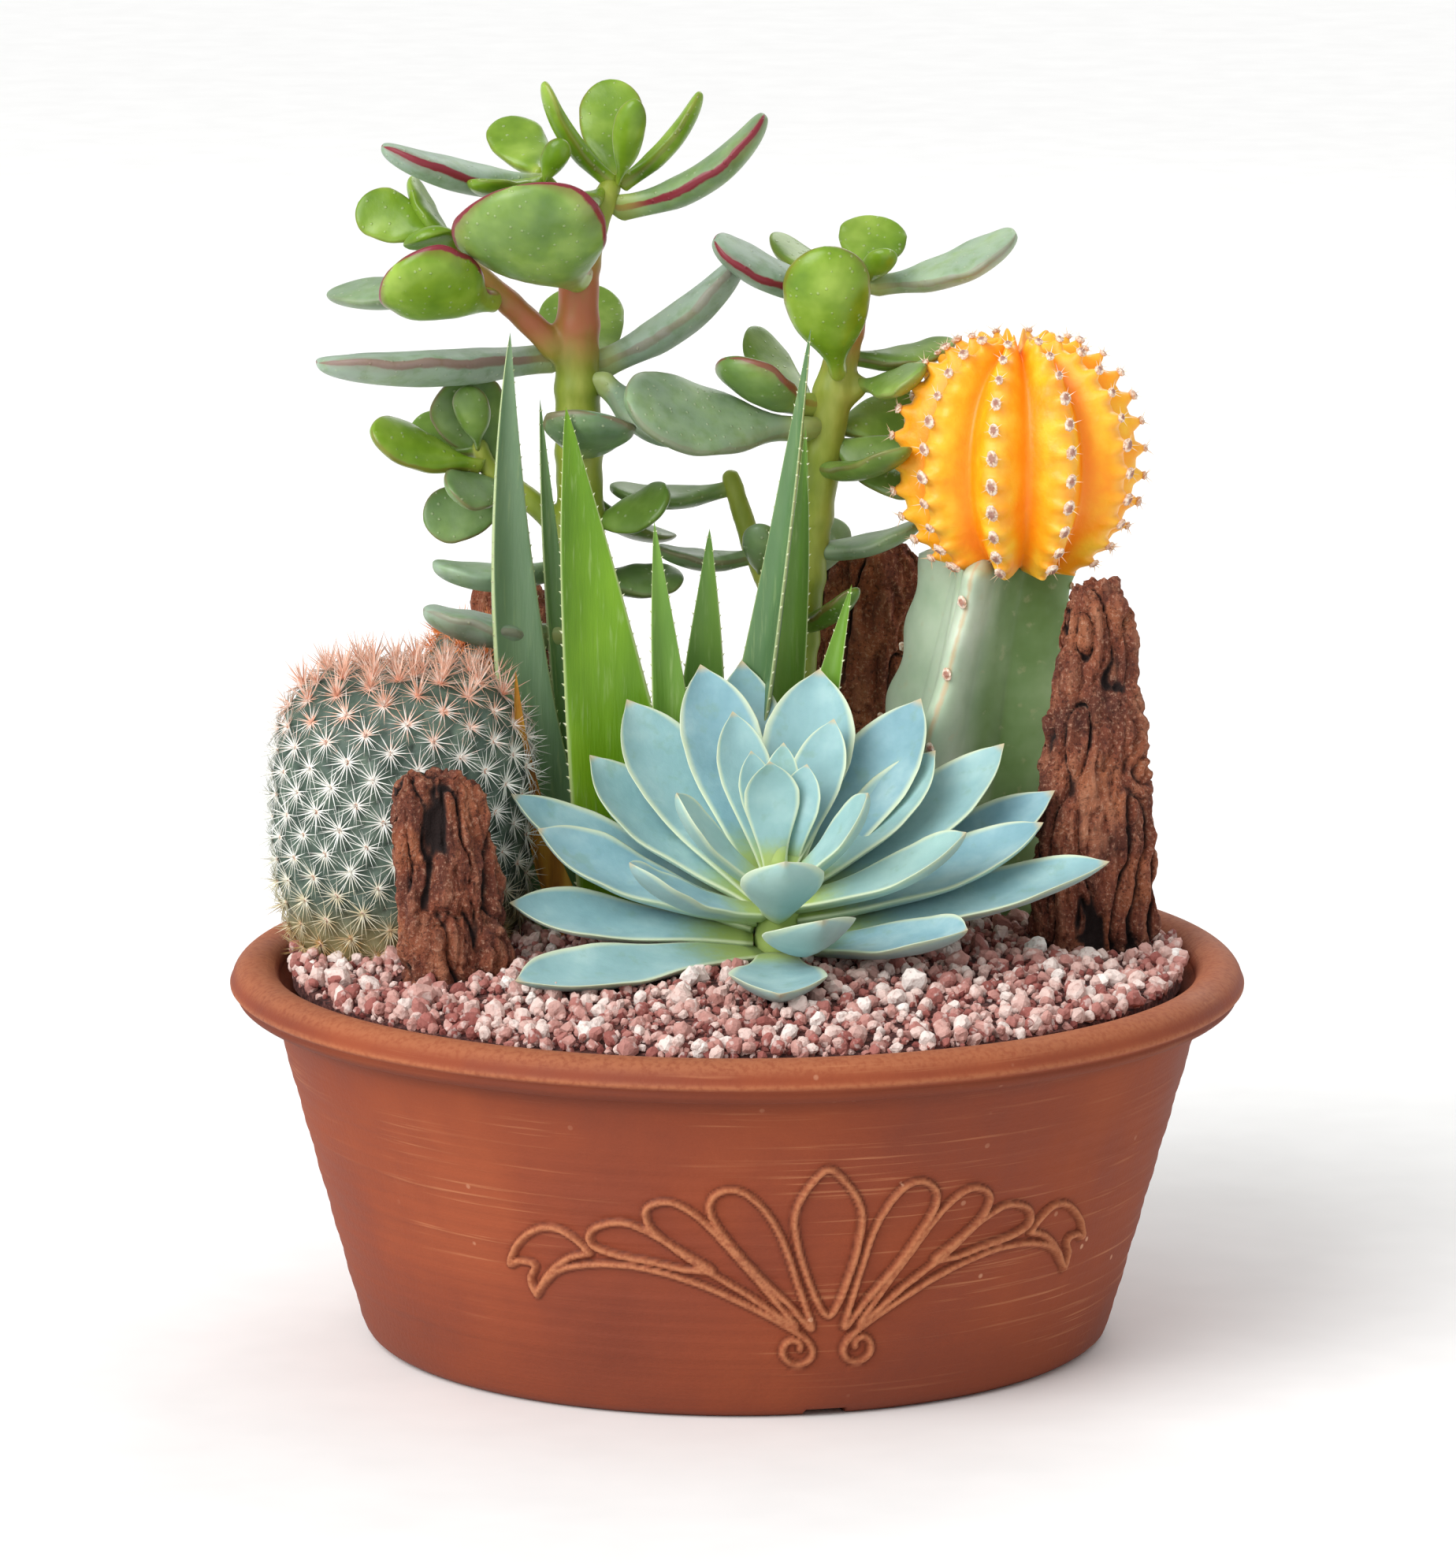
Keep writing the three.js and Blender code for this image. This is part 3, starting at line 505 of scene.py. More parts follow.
def aloe_material():
    """Aloe leaf: firm and slightly glossy, bright to grey green, with faint pale streaks along it."""
    material, tree, shader, where, tint, bloom, across = new_material("aloe_leaf", "tint", "bloom", "across")
    clouds = mottled(tree, where, 60, 3, stretch=(1, 1, 0.3))
    bright = add(tree, "ValToRGB", [clouds], stops=[(0.3, "578208"), (0.5, "6E9A12"), (0.72, "8DB52C")])
    dark = add(tree, "ValToRGB", [clouds], stops=[(0.3, "34582E"), (0.5, "486F3C"), (0.72, "6B8C50")])
    base = add(tree, "Mix", [tint, bright, dark])
    frost = add(tree, "Math", [bloom, add(tree, "MapRange", [clouds, 0.25, 0.7, 0.5, 0.9])])
    base = add(tree, "Mix", [frost, base, "93AD98"])
    streaks = mottled(tree, where, 900, 3, stretch=(1, 1, 0.08))
    base = add(tree, "Mix", [add(tree, "MapRange", [streaks, 0.55, 0.75, 0, 0.25]), base, "B5C78A"])
    base = add(tree, "Mix", [add(tree, "MapRange", [across, 0.9, 1.0, 0, 0.7]), base, "C7D29A"])
    set_input(shader, "Base Color", base)
    waxy(shader, 0.4, 0.1)
    set_input(shader, "Normal", add(tree, "Bump", {"Height": streaks, "Distance": 0.15 * MM}))
    return material


def aloe_tooth_material():
    """Aloe marginal teeth: pale cartilage, almost white."""
    material, tree, shader, where = new_material("aloe_tooth")
    grain = mottled(tree, where, 700, 2)
    set_input(
        shader, "Base Color",
        add(tree, "ValToRGB", [grain], stops=[(0.35, "C9D39C"), (0.65, "EEF0D2")]),
    )
    waxy(shader, 0.5, 0.1)
    return material


def dry_leaf_material():
    """A dead aloe leaf: papery and shrunken, orange-brown with darker dry streaks."""
    material, tree, shader, where = new_material("dry_leaf")
    streaks = mottled(tree, where, 260, 4, stretch=(1, 1, 0.12))
    base = add(tree, "ValToRGB", [streaks], stops=[(0.3, "6B3A12"), (0.5, "B0761C"), (0.7, "D9A83C")])
    set_input(shader, "Base Color", base)
    shader.inputs["Roughness"].default_value = 0.75
    set_input(shader, "Normal", add(tree, "Bump", {"Height": streaks, "Distance": 0.5 * MM}))
    return material


def cactus_skin_material():
    """Globe cactus skin: dull grey-green, with painted shade between the knobs, yellowing near the soil."""
    material, tree, shader, where, knob = new_material("globe_cactus_skin", "knob")
    height = add(tree, "SeparateXYZ", {0: where}).outputs["Z"]
    clouds = mottled(tree, where, 160, 3)
    base = add(tree, "ValToRGB", [clouds], stops=[(0.3, "33453B"), (0.5, "495C50"), (0.7, "627464")])
    # painted shade in the recesses between the knobs
    base = add(tree, "Mix", [add(tree, "MapRange", [knob, 0.5, 0.0, 0, 0.75]), base, "1E2922"])
    base = add(tree, "Mix", [add(tree, "MapRange", [height, 0.098, 0.084, 0, 0.7]), base, "9C8A58"])
    set_input(shader, "Base Color", base)
    waxy(shader, 0.55, 0.06)
    set_input(
        shader, "Normal",
        add(tree, "Bump", {"Height": mottled(tree, where, 800, 3), "Distance": 0.15 * MM}),
    )
    return material


def spine_material(name, stops, low, high):
    """Cactus spine: hard and slightly glassy, changing colour with height on the plant."""
    material, tree, shader, where = new_material(name)
    height = add(tree, "SeparateXYZ", {0: where}).outputs["Z"]
    speckle = mottled(tree, where, 500, 2)
    position = add(
        tree, "Math",
        [
            add(tree, "MapRange", [height, low, high]),
            add(tree, "MapRange", [speckle, 0.3, 0.7, -0.08, 0.08]),
        ],
        operation="ADD", use_clamp=True,
    )
    set_input(shader, "Base Color", add(tree, "ValToRGB", [position], stops=stops))
    shader.inputs["Roughness"].default_value = 0.42
    shader.inputs["Subsurface Weight"].default_value = 0.1
    shader.inputs["Subsurface Radius"].default_value = (0.6, 0.5, 0.4)
    shader.inputs["Subsurface Scale"].default_value = 0.4 * MM
    return material


def stock_material():
    """Graft rootstock skin: waxy grey-green, painted pale on the faces turned to the light and darker on the
    others as painted light and shade, with a tan corky line along each wing.
    """
    material, tree, shader, where, face, wing = new_material("graft_stock_skin", "face", "wing")
    clouds = mottled(tree, where, 55, 4)
    # lit and shaded copies of the skin: painted light on the faces towards the upper left, painted shade on
    # the others
    left = add(tree, "ValToRGB", [clouds], stops=[(0.3, "A0B79A"), (0.5, "B5C8AD"), (0.72, "CAD8C2")])
    right = add(tree, "ValToRGB", [clouds], stops=[(0.3, "5E7F3E"), (0.5, "74935A"), (0.72, "8EA878")])
    base = add(tree, "Mix", [face, left, right])
    ragged = add(
        tree, "Math", [wing, add(tree, "Math", [mottled(tree, where, 300, 4), 0.12])], operation="ADD",
    )
    base = add(tree, "Mix", [add(tree, "MapRange", [ragged, 1.0, 1.07, 0, 0.85]), base, "C2AA84"])
    base = add(
        tree, "Mix",
        [add(tree, "MapRange", [mottled(tree, where, 330, 5), 0.6, 0.72, 0, 0.3]), base, "B7B48C"],
    )
    set_input(shader, "Base Color", base)
    waxy(shader, 0.5, 0.1)
    set_input(shader, "Normal", add(tree, "Bump", {"Height": clouds, "Distance": 0.6 * MM}))
    return material


def moon_cactus_material():
    """Grafted moon cactus skin, with no green in it: waxy yellow-orange, with painted shade deepening the
    furrows and painted highlight paling the rib crests.
    """
    material, tree, shader, where, rib, pad = new_material("moon_cactus_skin", "rib", "pad")
    clouds = mottled(tree, where, 120, 3)
    base = add(tree, "ValToRGB", [clouds], stops=[(0.3, "FF9806"), (0.5, "FFAE12"), (0.72, "FFC834")])
    # painted shade in the furrows
    base = add(tree, "Mix", [add(tree, "MapRange", [rib, 0.55, 0.0, 0, 0.75]), base, "FF8600"])
    # painted highlight on the rib crests
    base = add(tree, "Mix", [add(tree, "MapRange", [rib, 0.72, 1.0, 0, 0.4]), base, "FFC455"])
    base = add(tree, "Mix", [add(tree, "MapRange", [pad, 0.35, 0.9, 0, 0.8]), base, "F3B08A"])
    set_input(shader, "Base Color", base)
    waxy(shader, 0.42, 0.25, (1.0, 0.5, 0.1), 3.0 * MM)
    set_input(
        shader, "Normal",
        add(tree, "Bump", {"Height": mottled(tree, where, 500, 3), "Distance": 0.2 * MM}),
    )
    return material


def areole_material():
    """Areole wool: a felted cream pad, dusty brown in its middle."""
    material, tree, shader, where, centre = new_material("areole_wool", "centre")
    felt = mottled(tree, where, 1500, 3)
    base = add(tree, "ValToRGB", [felt], stops=[(0.35, "C79A7C"), (0.5, "E6CDB8"), (0.65, "F6EBDD")])
    base = add(tree, "Mix", [add(tree, "MapRange", [centre, 0.6, 0.95, 0, 0.85]), base, "9A6252"])
    set_input(shader, "Base Color", base)
    shader.inputs["Roughness"].default_value = 0.95
    set_input(shader, "Normal", add(tree, "Bump", {"Height": felt, "Distance": 0.3 * MM}))
    return material


def floor_material():
    """The studio floor: smooth matte board, almost white."""
    material, tree, shader, where = new_material("studio_floor")
    fleck = mottled(tree, where, 40, 2)
    set_input(
        shader, "Base Color", add(tree, "ValToRGB", [fleck], stops=[(0.3, "F4F4F3"), (0.7, "F8F8F7")]),
    )
    shader.inputs["Roughness"].default_value = 0.7
    return material


MAKERS = {
    "terracotta": terracotta_material,
    "gravel": gravel_material,
    "grit_bed": grit_bed_painted_shade_material,
    "potting_mix": potting_mix_material,
    "bark": bark_material,
    "jade_leaf": jade_leaf_material,
    "jade_stem": jade_stem_material,
    "echeveria": echeveria_material,
    "aloe": aloe_material,
    "aloe_tooth": aloe_tooth_material,
    "dry_leaf": dry_leaf_material,
    "cactus_skin": cactus_skin_material,
    "stock": stock_material,
    "moon": moon_cactus_material,
    "areole": areole_material,
    "floor": floor_material,
}
made_materials = {}


def finish_of(key):
    """The material for a finish, made once."""
    if key not in made_materials:
        made_materials[key] = MAKERS[key]()
    return made_materials[key]


# ---- Leaves -------------------------------------------------------------------------------------
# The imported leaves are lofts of 8 points a ring with a point at the tip. Each ring stands at a known
# share of the leaf's length: (share of length, share of width, share of thickness), tip first.
RINGS = {
    "jade": [
        (0.91, 0.68, 0.6), (0.74, 1, 0.85), (0.53, 0.95, 1), (0.32, 0.66, 1), (0.14, 0.3, 0.85),
        (0, 0.2, 0.8),
    ],
    "echeveria": [
        (0.93, 0.42, 0.4), (0.8, 0.86, 0.6), (0.62, 1, 0.8), (0.42, 0.78, 1), (0.2, 0.5, 1),
        (0, 0.4, 0.9),
    ],
    "aloe": [
        (0.91, 0.19, 0.26), (0.76, 0.4, 0.48), (0.56, 0.64, 0.72), (0.36, 0.84, 0.9), (0.16, 0.97, 1),
        (0, 1, 0.9),
    ],
}
# The same outlines drawn finer, foot first, for the finished leaves.
OUTLINES = {
    "jade": {
        "at": [0, 0.07, 0.14, 0.23, 0.32, 0.42, 0.53, 0.64, 0.74, 0.83, 0.91, 0.96, 0.988, 1],
        "wide": [0.22, 0.22, 0.29, 0.47, 0.67, 0.84, 0.95, 1.0, 1.0, 0.92, 0.72, 0.49, 0.26, 0],
        "thick": [0.85, 0.8, 0.82, 0.9, 1.0, 1.0, 1.0, 0.95, 0.86, 0.76, 0.62, 0.46, 0.28, 0],
    },
    "echeveria": {
        "at": [0, 0.1, 0.2, 0.31, 0.42, 0.52, 0.62, 0.71, 0.8, 0.87, 0.93, 0.965, 0.985, 1],
        "wide": [0.44, 0.46, 0.53, 0.65, 0.79, 0.92, 1.0, 1.0, 0.88, 0.69, 0.42, 0.2, 0.09, 0],
        "thick": [0.95, 1.0, 1.0, 1.0, 1.0, 0.92, 0.82, 0.72, 0.6, 0.5, 0.38, 0.26, 0.15, 0],
    },
    "aloe": {
        "at": [0, 0.16, 0.36, 0.56, 0.76, 0.91, 0.97, 1],
        "wide": [1, 0.97, 0.84, 0.64, 0.4, 0.17, 0.07, 0],
        "thick": [0.9, 1, 0.9, 0.72, 0.48, 0.24, 0.12, 0],
    },
}


def curve_through(xs, ys):
    """A smooth curve through points that does not overshoot between them."""
    xs, ys = np.asarray(xs, float), np.asarray(ys, float)
    slopes = np.diff(ys) / np.diff(xs)
    tangents = np.zeros_like(ys)
    tangents[0], tangents[-1] = slopes[0], slopes[-1]
    for i in range(1, len(xs) - 1):
        if slopes[i - 1] * slopes[i] > 0:
            tangents[i] = 2 / (1 / slopes[i - 1] + 1 / slopes[i])

    def value(t):
        t = np.clip(t, xs[0], xs[-1])
        i = np.clip(np.searchsorted(xs, t, side="right") - 1, 0, len(xs) - 2)
        h = xs[i + 1] - xs[i]
        f = (t - xs[i]) / h
        return (
            ys[i] * (2 * f**3 - 3 * f**2 + 1)
            + tangents[i] * h * (f**3 - 2 * f**2 + f)
            + ys[i + 1] * (3 * f**2 - 2 * f**3)
            + tangents[i + 1] * h * (f**3 - f**2)
        )

    return value


def ring_frame(ring):
    """Middle, width and lift directions, half-width, half-thickness and cup of an 8-point ring, or None."""
    middle = ring.mean(axis=0)
    for turn in (0, 1):
        p = np.roll(ring, -turn, axis=0)
        uneven = max(np.abs(p[1] + p[5] - p[3] - p[7]).max(), np.abs((p[1] + p[5]) / 2 - middle).max())
        if uneven > 6e-6:
            continue
        across, through = (p[0] - p[4]) / 2, (p[2] - p[6]) / 2
        lift = (p[0] + p[4]) / 2 - middle
        if np.linalg.norm(through) > np.linalg.norm(across):
            across, through = through, across
            lift = (p[2] + p[6]) / 2 - middle
        wide, thick = np.linalg.norm(across), np.linalg.norm(through)
        up = through / thick
        if lift @ up < 0:
            up = -up
        return middle, across / wide, up, wide, thick, 2 * (lift @ up) / wide
    return None


def find_leaves(node, form):
    """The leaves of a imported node, each measured from the rings below its tip that are whole."""
    work = bmesh.new()
    work.from_mesh(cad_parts[node].data)
    bmesh.ops.remove_doubles(work, verts=work.verts, dist=2e-6)
    work.verts.ensure_lookup_table()
    co = [np.array(v.co) for v in work.verts]
    across_edge = {}
    fans = {}
    for face in work.faces:
        corners = [v.index for v in face.verts]
        for k in range(3):
            a, b, c = corners[k], corners[(k + 1) % 3], corners[(k + 2) % 3]
            across_edge[a, b] = c
            fans.setdefault(a, {})[b] = c
    work.free()
    found = []
    for tip, fan in fans.items():
        if len(fan) != 8:
            continue
        ring = [next(iter(fan))]
        while len(ring) < 8 and fan.get(ring[-1]) is not None:
            ring.append(fan[ring[-1]])
        if len(set(ring)) != 8 or fan.get(ring[-1]) != ring[0]:
            continue
        frames = []
        behind = {tip}
        for _ in RINGS[form]:
            measured = ring_frame(np.array([co[i] for i in ring]))
            if measured is None:
                break
            frames.append(measured)
            ahead = [across_edge.get((ring[(i + 1) % 8], ring[i])) for i in range(8)]
            if None in ahead or len(set(ahead)) != 8 or set(ahead) & (set(ring) | behind):
                break
            behind = set(ring)
            ring = ahead
        if frames:
            found.append(leaf_from_rings(co[tip], frames, form))
    return found


def leaf_from_rings(tip, frames, form):
    """A leaf's middle line, directions and sizes. The middle line is a parabola through tip and rings."""
    shares = [1.0] + [RINGS[form][k][0] for k in range(len(frames))]
    middles = np.array([tip] + [f[0] for f in frames])
    if len(frames) == 1:
        foot = tip + (middles[1] - tip) / (1 - shares[1])
        bent = np.array([foot, tip - foot, np.zeros(3)])
    else:
        powers = np.vander(shares, 3, increasing=True)
        bent = np.linalg.lstsq(powers, middles, rcond=None)[0]
    best = max(range(len(frames)), key=lambda k: RINGS[form][k][1])
    _, across, up, wide, thick, cup = frames[best]
    return {
        "bent": bent,
        "across": across,
        "up": up,
        "wide": wide / RINGS[form][best][1],
        "thick": thick / RINGS[form][best][2],
        "cup": cup,
        "tip": tip,
    }


def leaf_surface(leaf, form, around, along, seed, liveliness=1.0):
    """Points, faces, attributes and map of one finished leaf, and its rings. A stalk joins it to the stem."""
    shape = OUTLINES[form]
    wide_at, thick_at = curve_through(shape["at"], shape["wide"]), curve_through(shape["at"], shape["thick"])
    draw = random.Random(seed)
    a, b, c = leaf["bent"]
    across = leaf["across"]
    length = np.linalg.norm(b + c)
    # stations crowd towards the tip, where the outline turns quickly
    share = 1 - (1 - np.linspace(0, 1, along)) ** (1.35 if form == "aloe" else 1.8)
    sway = [draw.uniform(-1, 1) * 0.012 * length * liveliness for _ in range(3)]
    twist = draw.uniform(-1, 1) * 0.16 * liveliness
    wave = (draw.uniform(0, 6.3), draw.uniform(0, 6.3), draw.uniform(2.2, 3.4))
    skew = draw.uniform(-0.06, 0.06) * liveliness
    rows, fields = [], []
    angle = np.linspace(0, 2 * math.pi, around, endpoint=False)
    turn_c, turn_s = np.cos(angle), np.sin(angle)
    anchor = leaf.get("anchor")
    stalk = []
    if anchor is not None:
        pull, push = a - anchor, b / np.linalg.norm(b) * np.linalg.norm(a - anchor)
        for t in np.linspace(0, 1, 7)[:-1]:
            # a curve from the stem's middle that leaves towards the leaf and enters it along its midline
            at = anchor + pull * (t * t * (3 - 2 * t)) + pull * (t - 2 * t**2 + t**3) + push * (t**3 - t**2)
            stalk.append((t - 1, at))
    for s, stalk_at in [*stalk, *((s, None) for s in share[:-1])]:
        narrow = 1 - 0.25 * min(1, -s) if s < 0 else 1
        s = max(s, 0)
        direction = b + 2 * c * s
        direction /= np.linalg.norm(direction)
        up = np.cross(direction, across)
        up *= 1 if up @ leaf["up"] > 0 else -1
        rise = math.sin(math.pi * s)
        middle = (
            a + b * s + c * s * s + across * (sway[0] * rise + sway[2] * math.sin(2 * math.pi * s))
            + up * sway[1] * rise
        )
        if stalk_at is not None:
            middle = stalk_at
        roll = twist * smooth(s) ** 2
        u = across * math.cos(roll) + up * math.sin(roll)
        v = up * math.cos(roll) - across * math.sin(roll)
        w, h = leaf["wide"] * wide_at(s) * narrow, leaf["thick"] * thick_at(s) * narrow
        upper = turn_s >= 0
        if form == "jade":
            body = np.sign(turn_s) * np.abs(turn_s) ** 1.15 * h
            lift = leaf["cup"] * w * (turn_c**2 - 0.5)
        elif form == "echeveria":
            keel = 0.35 * (1 - np.abs(turn_c)) ** 1.5
            body = np.where(upper, 0.62 * np.abs(turn_s) ** 1.4, -(0.95 + keel) * np.abs(turn_s) ** 1.25) * h
            lift = leaf["cup"] * w * (turn_c**2 - 0.5) * (0.6 + 1.0 * s)
        else:
            hollow = 0.75 * min(1.0, 0.35 + s)
            body = np.where(
                upper, (0.55 - hollow * (1 - turn_c ** 2)) * np.abs(turn_s) ** 0.6,
                -1.05 * np.abs(turn_s),
            ) * h
            lift = leaf["cup"] * w * (turn_c**2 - 0.5)
        ripple = 0.035 * w * liveliness * turn_c ** 2 * np.sin(
            wave[2] * 2 * math.pi * s + np.where(turn_c > 0, wave[0], wave[1]),
        )
        edge = turn_c * (1 + skew * np.sign(turn_c) * rise)
        rows.append(middle + np.outer(edge * w, u) + np.outer(body + lift + ripple, v))
        fields.append(
            np.stack([np.full(around, s), np.abs(turn_c), upper * 1.0, angle / (2 * math.pi)], axis=1),
        )
    tip = a + b + c
    points = np.vstack(rows + [tip[None], rows[0].mean(axis=0)[None]])
    faces = tube_faces(len(rows), around)
    field = np.vstack(fields + [[[1, 0, 1, 0.5]], [[0, 0.5, 1, 0.5]]])
    rings = np.array(rows)
    turned = np.cross(rings[1][0] - rings[0][0], rings[0][1] - rings[0][0])
    outward = turned @ (rings[0][0] - rings[0].mean(axis=0))
    if outward > 0:
        faces = [tuple(reversed(f)) for f in faces]
    return points, faces, field, rings


def stem_lines():
    """The middle lines of all jade stems as points 1 mm or so apart."""
    found = []
    for ways in STEM_WAYS.values():
        for way in ways:
            way = np.array(way, float)[:, :3]
            reach = np.concatenate([[0], np.cumsum(np.linalg.norm(np.diff(way, axis=0), axis=1))])
            at = np.arange(0, reach[-1], 1.0)
            found.append(np.stack([curve_through(reach, way[:, k])(at) for k in range(3)], axis=1))
    return np.vstack(found) * MM


def anchored(leaves):
    """Gives each jade leaf the nearest point inside a stem as its anchor, when one is near."""
    line = stem_lines()
    for leaf in leaves:
        gap = np.linalg.norm(line - leaf["bent"][0], axis=1)
        if 1.0 * MM < gap.min() < 14 * MM:
            leaf["anchor"] = line[gap.argmin()]
    return leaves


def join_leaves(name, leaves, form, looks, material, slot, nodes, liveliness=1.0, extra=None):
    """One object from several measured leaves. looks gives each leaf's (tint, bloom, blush)."""
    settings = bpy.context.scene.leaf_settings
    points, faces, fields, tints = [], [], [], []
    for k, leaf in enumerate(leaves):
        p, f, field, _ = leaf_surface(leaf, form, settings.around, settings.along, f"{name}{k}", liveliness)
        base = sum(len(q) for q in points)
        points.append(p)
        faces += [tuple(i + base for i in face) for face in f]
        fields.append(field)
        tints.append(np.tile(looks[k], (len(p), 1)))
    if extra is not None:
        p, f = extra
        base = sum(len(q) for q in points)
        points.append(p)
        faces += [tuple(i + base for i in face) for face in f]
        fields.append(np.tile([0.05, 0.4, 1, 0.5], (len(p), 1)))
        tints.append(np.tile((0.3, 0, 0), (len(p), 1)))
    field, tint = np.vstack(fields), np.vstack(tints)
    attributes = {
        "along": field[:, 0], "across": field[:, 1], "side": field[:, 2],
        "tint": tint[:, 0], "bloom": tint[:, 1], "blush": tint[:, 2],
    }
    uv = np.stack([field[:, 3], field[:, 0]], axis=1)
    thing = mesh_object(name, np.vstack(points), faces, attributes, uv)
    return settle(thing, material, slot, *nodes)


# What light and age have done to each grown jade leaf: (older green, grey bloom, red blush)
JADE_LOOKS = {
    "jade_leaf_left_long": (0.8, 0.65, 0.6),
    "jade_leaf_left_far": (0.7, 0.35, 0.1),
    "jade_leaf_left_red": (0.1, 0.0, 1.0),
    "jade_leaf_left_front": (0.3, 0.1, 1.0),
    "jade_leaf_left_top": (0.8, 0.6, 1.0),
    "jade_leaf_left_horn": (0.6, 0.25, 1.0),
    "jade_leaf_left_wing": (0.8, 0.62, 0.35),
    "jade_leaf_left_drop": (0.9, 0.4, 0.1),
    "jade_leaf_left_under": (1.0, 0.15, 0.35),
    "jade_leaf_left_low": (0.1, 0.0, 0.35),
    "jade_leaf_left_olive": (0.6, 0.1, 0.4),
    "jade_leaf_left_pale": (0.7, 0.5, 0.0),
    "jade_leaf_left_base": (0.8, 0.55, 0.3),
    "jade_leaf_right_tip": (0.9, 0.5, 1.0),
    "jade_leaf_right_wing": (0.5, 0.55, 0.3),
    "jade_leaf_right_tall": (0.1, 0.0, 0.35),
    "jade_leaf_right_olive": (0.55, 0.1, 0.8),
    "jade_leaf_right_oval": (0.75, 0.35, 0.2),
}
ALOE_LOOKS = {
    "aloe_leaf_broad": (0.0, 0.0),
    "aloe_leaf_left_tall": (0.75, 0.6),
    "aloe_leaf_left_back": (0.9, 0.15),
    "aloe_leaf_mid_front": (0.35, 0.05),
    "aloe_leaf_mid_back": (0.55, 0.05),
    "aloe_leaf_right_tall": (0.9, 0.2),
    "aloe_leaf_right_light": (0.25, 0.1),
    "aloe_leaf_right_small": (0.15, 0.05),
}


# Ways of the stems through the jade plants, in millimetres: [x, y, z, radius]
STEM_WAYS = {
    "jade_stem_left": [
        [
            [-33, 34, 68.3, 7], [-33, 35, 112, 6.2], [-34, 37, 160, 5.4], [-35, 40, 206, 4.9],
            [-34.5, 40, 226, 4.4], [-31, 42, 238, 3.2], [-27, 46, 247, 2.4],
        ],
        [
            [-35, 40, 206, 3.2], [-45, 38, 216, 3], [-53, 36, 224, 2.6], [-62, 38, 232, 2],
            [-66, 39, 236, 1.6],
        ],
        [[-33, 41, 234, 2.4], [-38, 42, 242, 2.2], [-43, 43, 248, 1.8]],
        [[-34, 38, 166, 3], [-46, 41, 177, 2.6], [-55, 42, 184, 2.2], [-57, 41, 190, 1.8]],
    ],
    "jade_stem_right": [
        [
            [5, 42, 68.3, 7], [9, 42, 112, 6.4], [14, 44, 160, 5.6], [20, 43, 195, 4.6],
            [24, 43, 212, 3.6], [28, 46, 227, 2.4],
        ],
        [[12, 43, 146, 3], [4, 48, 164, 2.6], [-2, 50, 182, 2]],
        [[21, 43, 196, 2.6], [25, 43, 200, 2.4], [28, 42, 203, 2]],
    ],
}


def stem_tube(way, sides=20, step=1.2):
    """Points and faces of a fleshy stem with a swollen ring at each old leaf joint, rounded at both ends."""
    way = np.asarray(way, float)
    reach = np.concatenate([[0], np.cumsum(np.linalg.norm(np.diff(way[:, :3], axis=0), axis=1))])
    lines = [curve_through(reach, way[:, k]) for k in range(4)]
    at = np.arange(0, reach[-1], step)
    centres = np.stack([line(at) for line in lines[:3]], axis=1)
    radii = lines[3](at)
    # joints stand about 14 mm apart
    radii = radii * (1 + 0.09 * np.exp(-(((at % 14.0) - 7) / 1.6) ** 2) + 0.02 * np.sin(at * 0.9))
    u = np.array([1.0, 0, 0])
    rows = []
    for k, (middle, radius) in enumerate(zip(centres, radii)):
        t = centres[min(k + 1, len(at) - 1)] - centres[max(k - 1, 0)]
        t /= np.linalg.norm(t)
        u = u - t * (u @ t)
        u /= np.linalg.norm(u)
        v = np.cross(t, u)
        angle = np.linspace(0, 2 * math.pi, sides, endpoint=False)
        rows.append(middle + radius * (np.outer(np.cos(angle), u) + np.outer(np.sin(angle), v)))
    tip_point = centres[-1] + (centres[-1] - centres[-2]) / step * radii[-1] * 0.7
    points = np.vstack(rows + [tip_point[None], centres[0][None]]) * MM
    return points, tube_faces(len(rows), sides)


def remeshed(thing, voxel, smoothing=0):
    """The object as one even skin of quads."""
    wrap = thing.modifiers.new("Skin", "REMESH")
    wrap.mode = "VOXEL"
    wrap.voxel_size = voxel
    wrap.use_smooth_shade = True
    if smoothing:
        relax = thing.modifiers.new("Relax", "SMOOTH")
        relax.iterations = smoothing
        relax.factor = 0.5
    return applied(thing)


class PLANTED_OT_jade(bpy.types.Operator):
    """Makes both jade plants: stems, young leaves and grown leaves"""

    bl_idname = "planted.jade"
    bl_label = "Jade plants"

    def execute(self, context):
        for node, ways in STEM_WAYS.items():
            points, faces = [], []
            for way in ways:
                p, f = stem_tube(way)
                base = sum(len(q) for q in points)
                points.append(p)
                faces += [tuple(i + base for i in face) for face in f]
            stem = remeshed(mesh_object(node + "_skin", np.vstack(points), faces), 0.75 * MM, 6)
            settle(stem, finish_of("jade_stem"), "jade_stem", node)
            draw = random.Random(node)
            young = anchored(find_leaves(node, "jade"))
            # young leaves are brightest at the shoot tips and greyer lower down
            looks = []
            for leaf in young:
                low = 1 - min(1, max(0, (leaf["tip"][2] / MM - 165) / 60))
                looks.append((0.15 + 0.6 * low, 0.45 * low * draw.random(), 0.35 * draw.random()))
            join_leaves(
                node.replace("stem", "young_leaves"), young, "jade", looks, finish_of("jade_leaf"),
                "jade_leaf", [],
            )
        for node, look in JADE_LOOKS.items():
            leaves = anchored(find_leaves(node, "jade"))
            if len(leaves) != 1:
                raise RuntimeError(f"{node} has {len(leaves)} leaf tips")
            name = node.replace("jade_leaf", "jade_grown_leaf")
            join_leaves(name, leaves, "jade", [look], finish_of("jade_leaf"), "jade_leaf", [node])
        return {"FINISHED"}


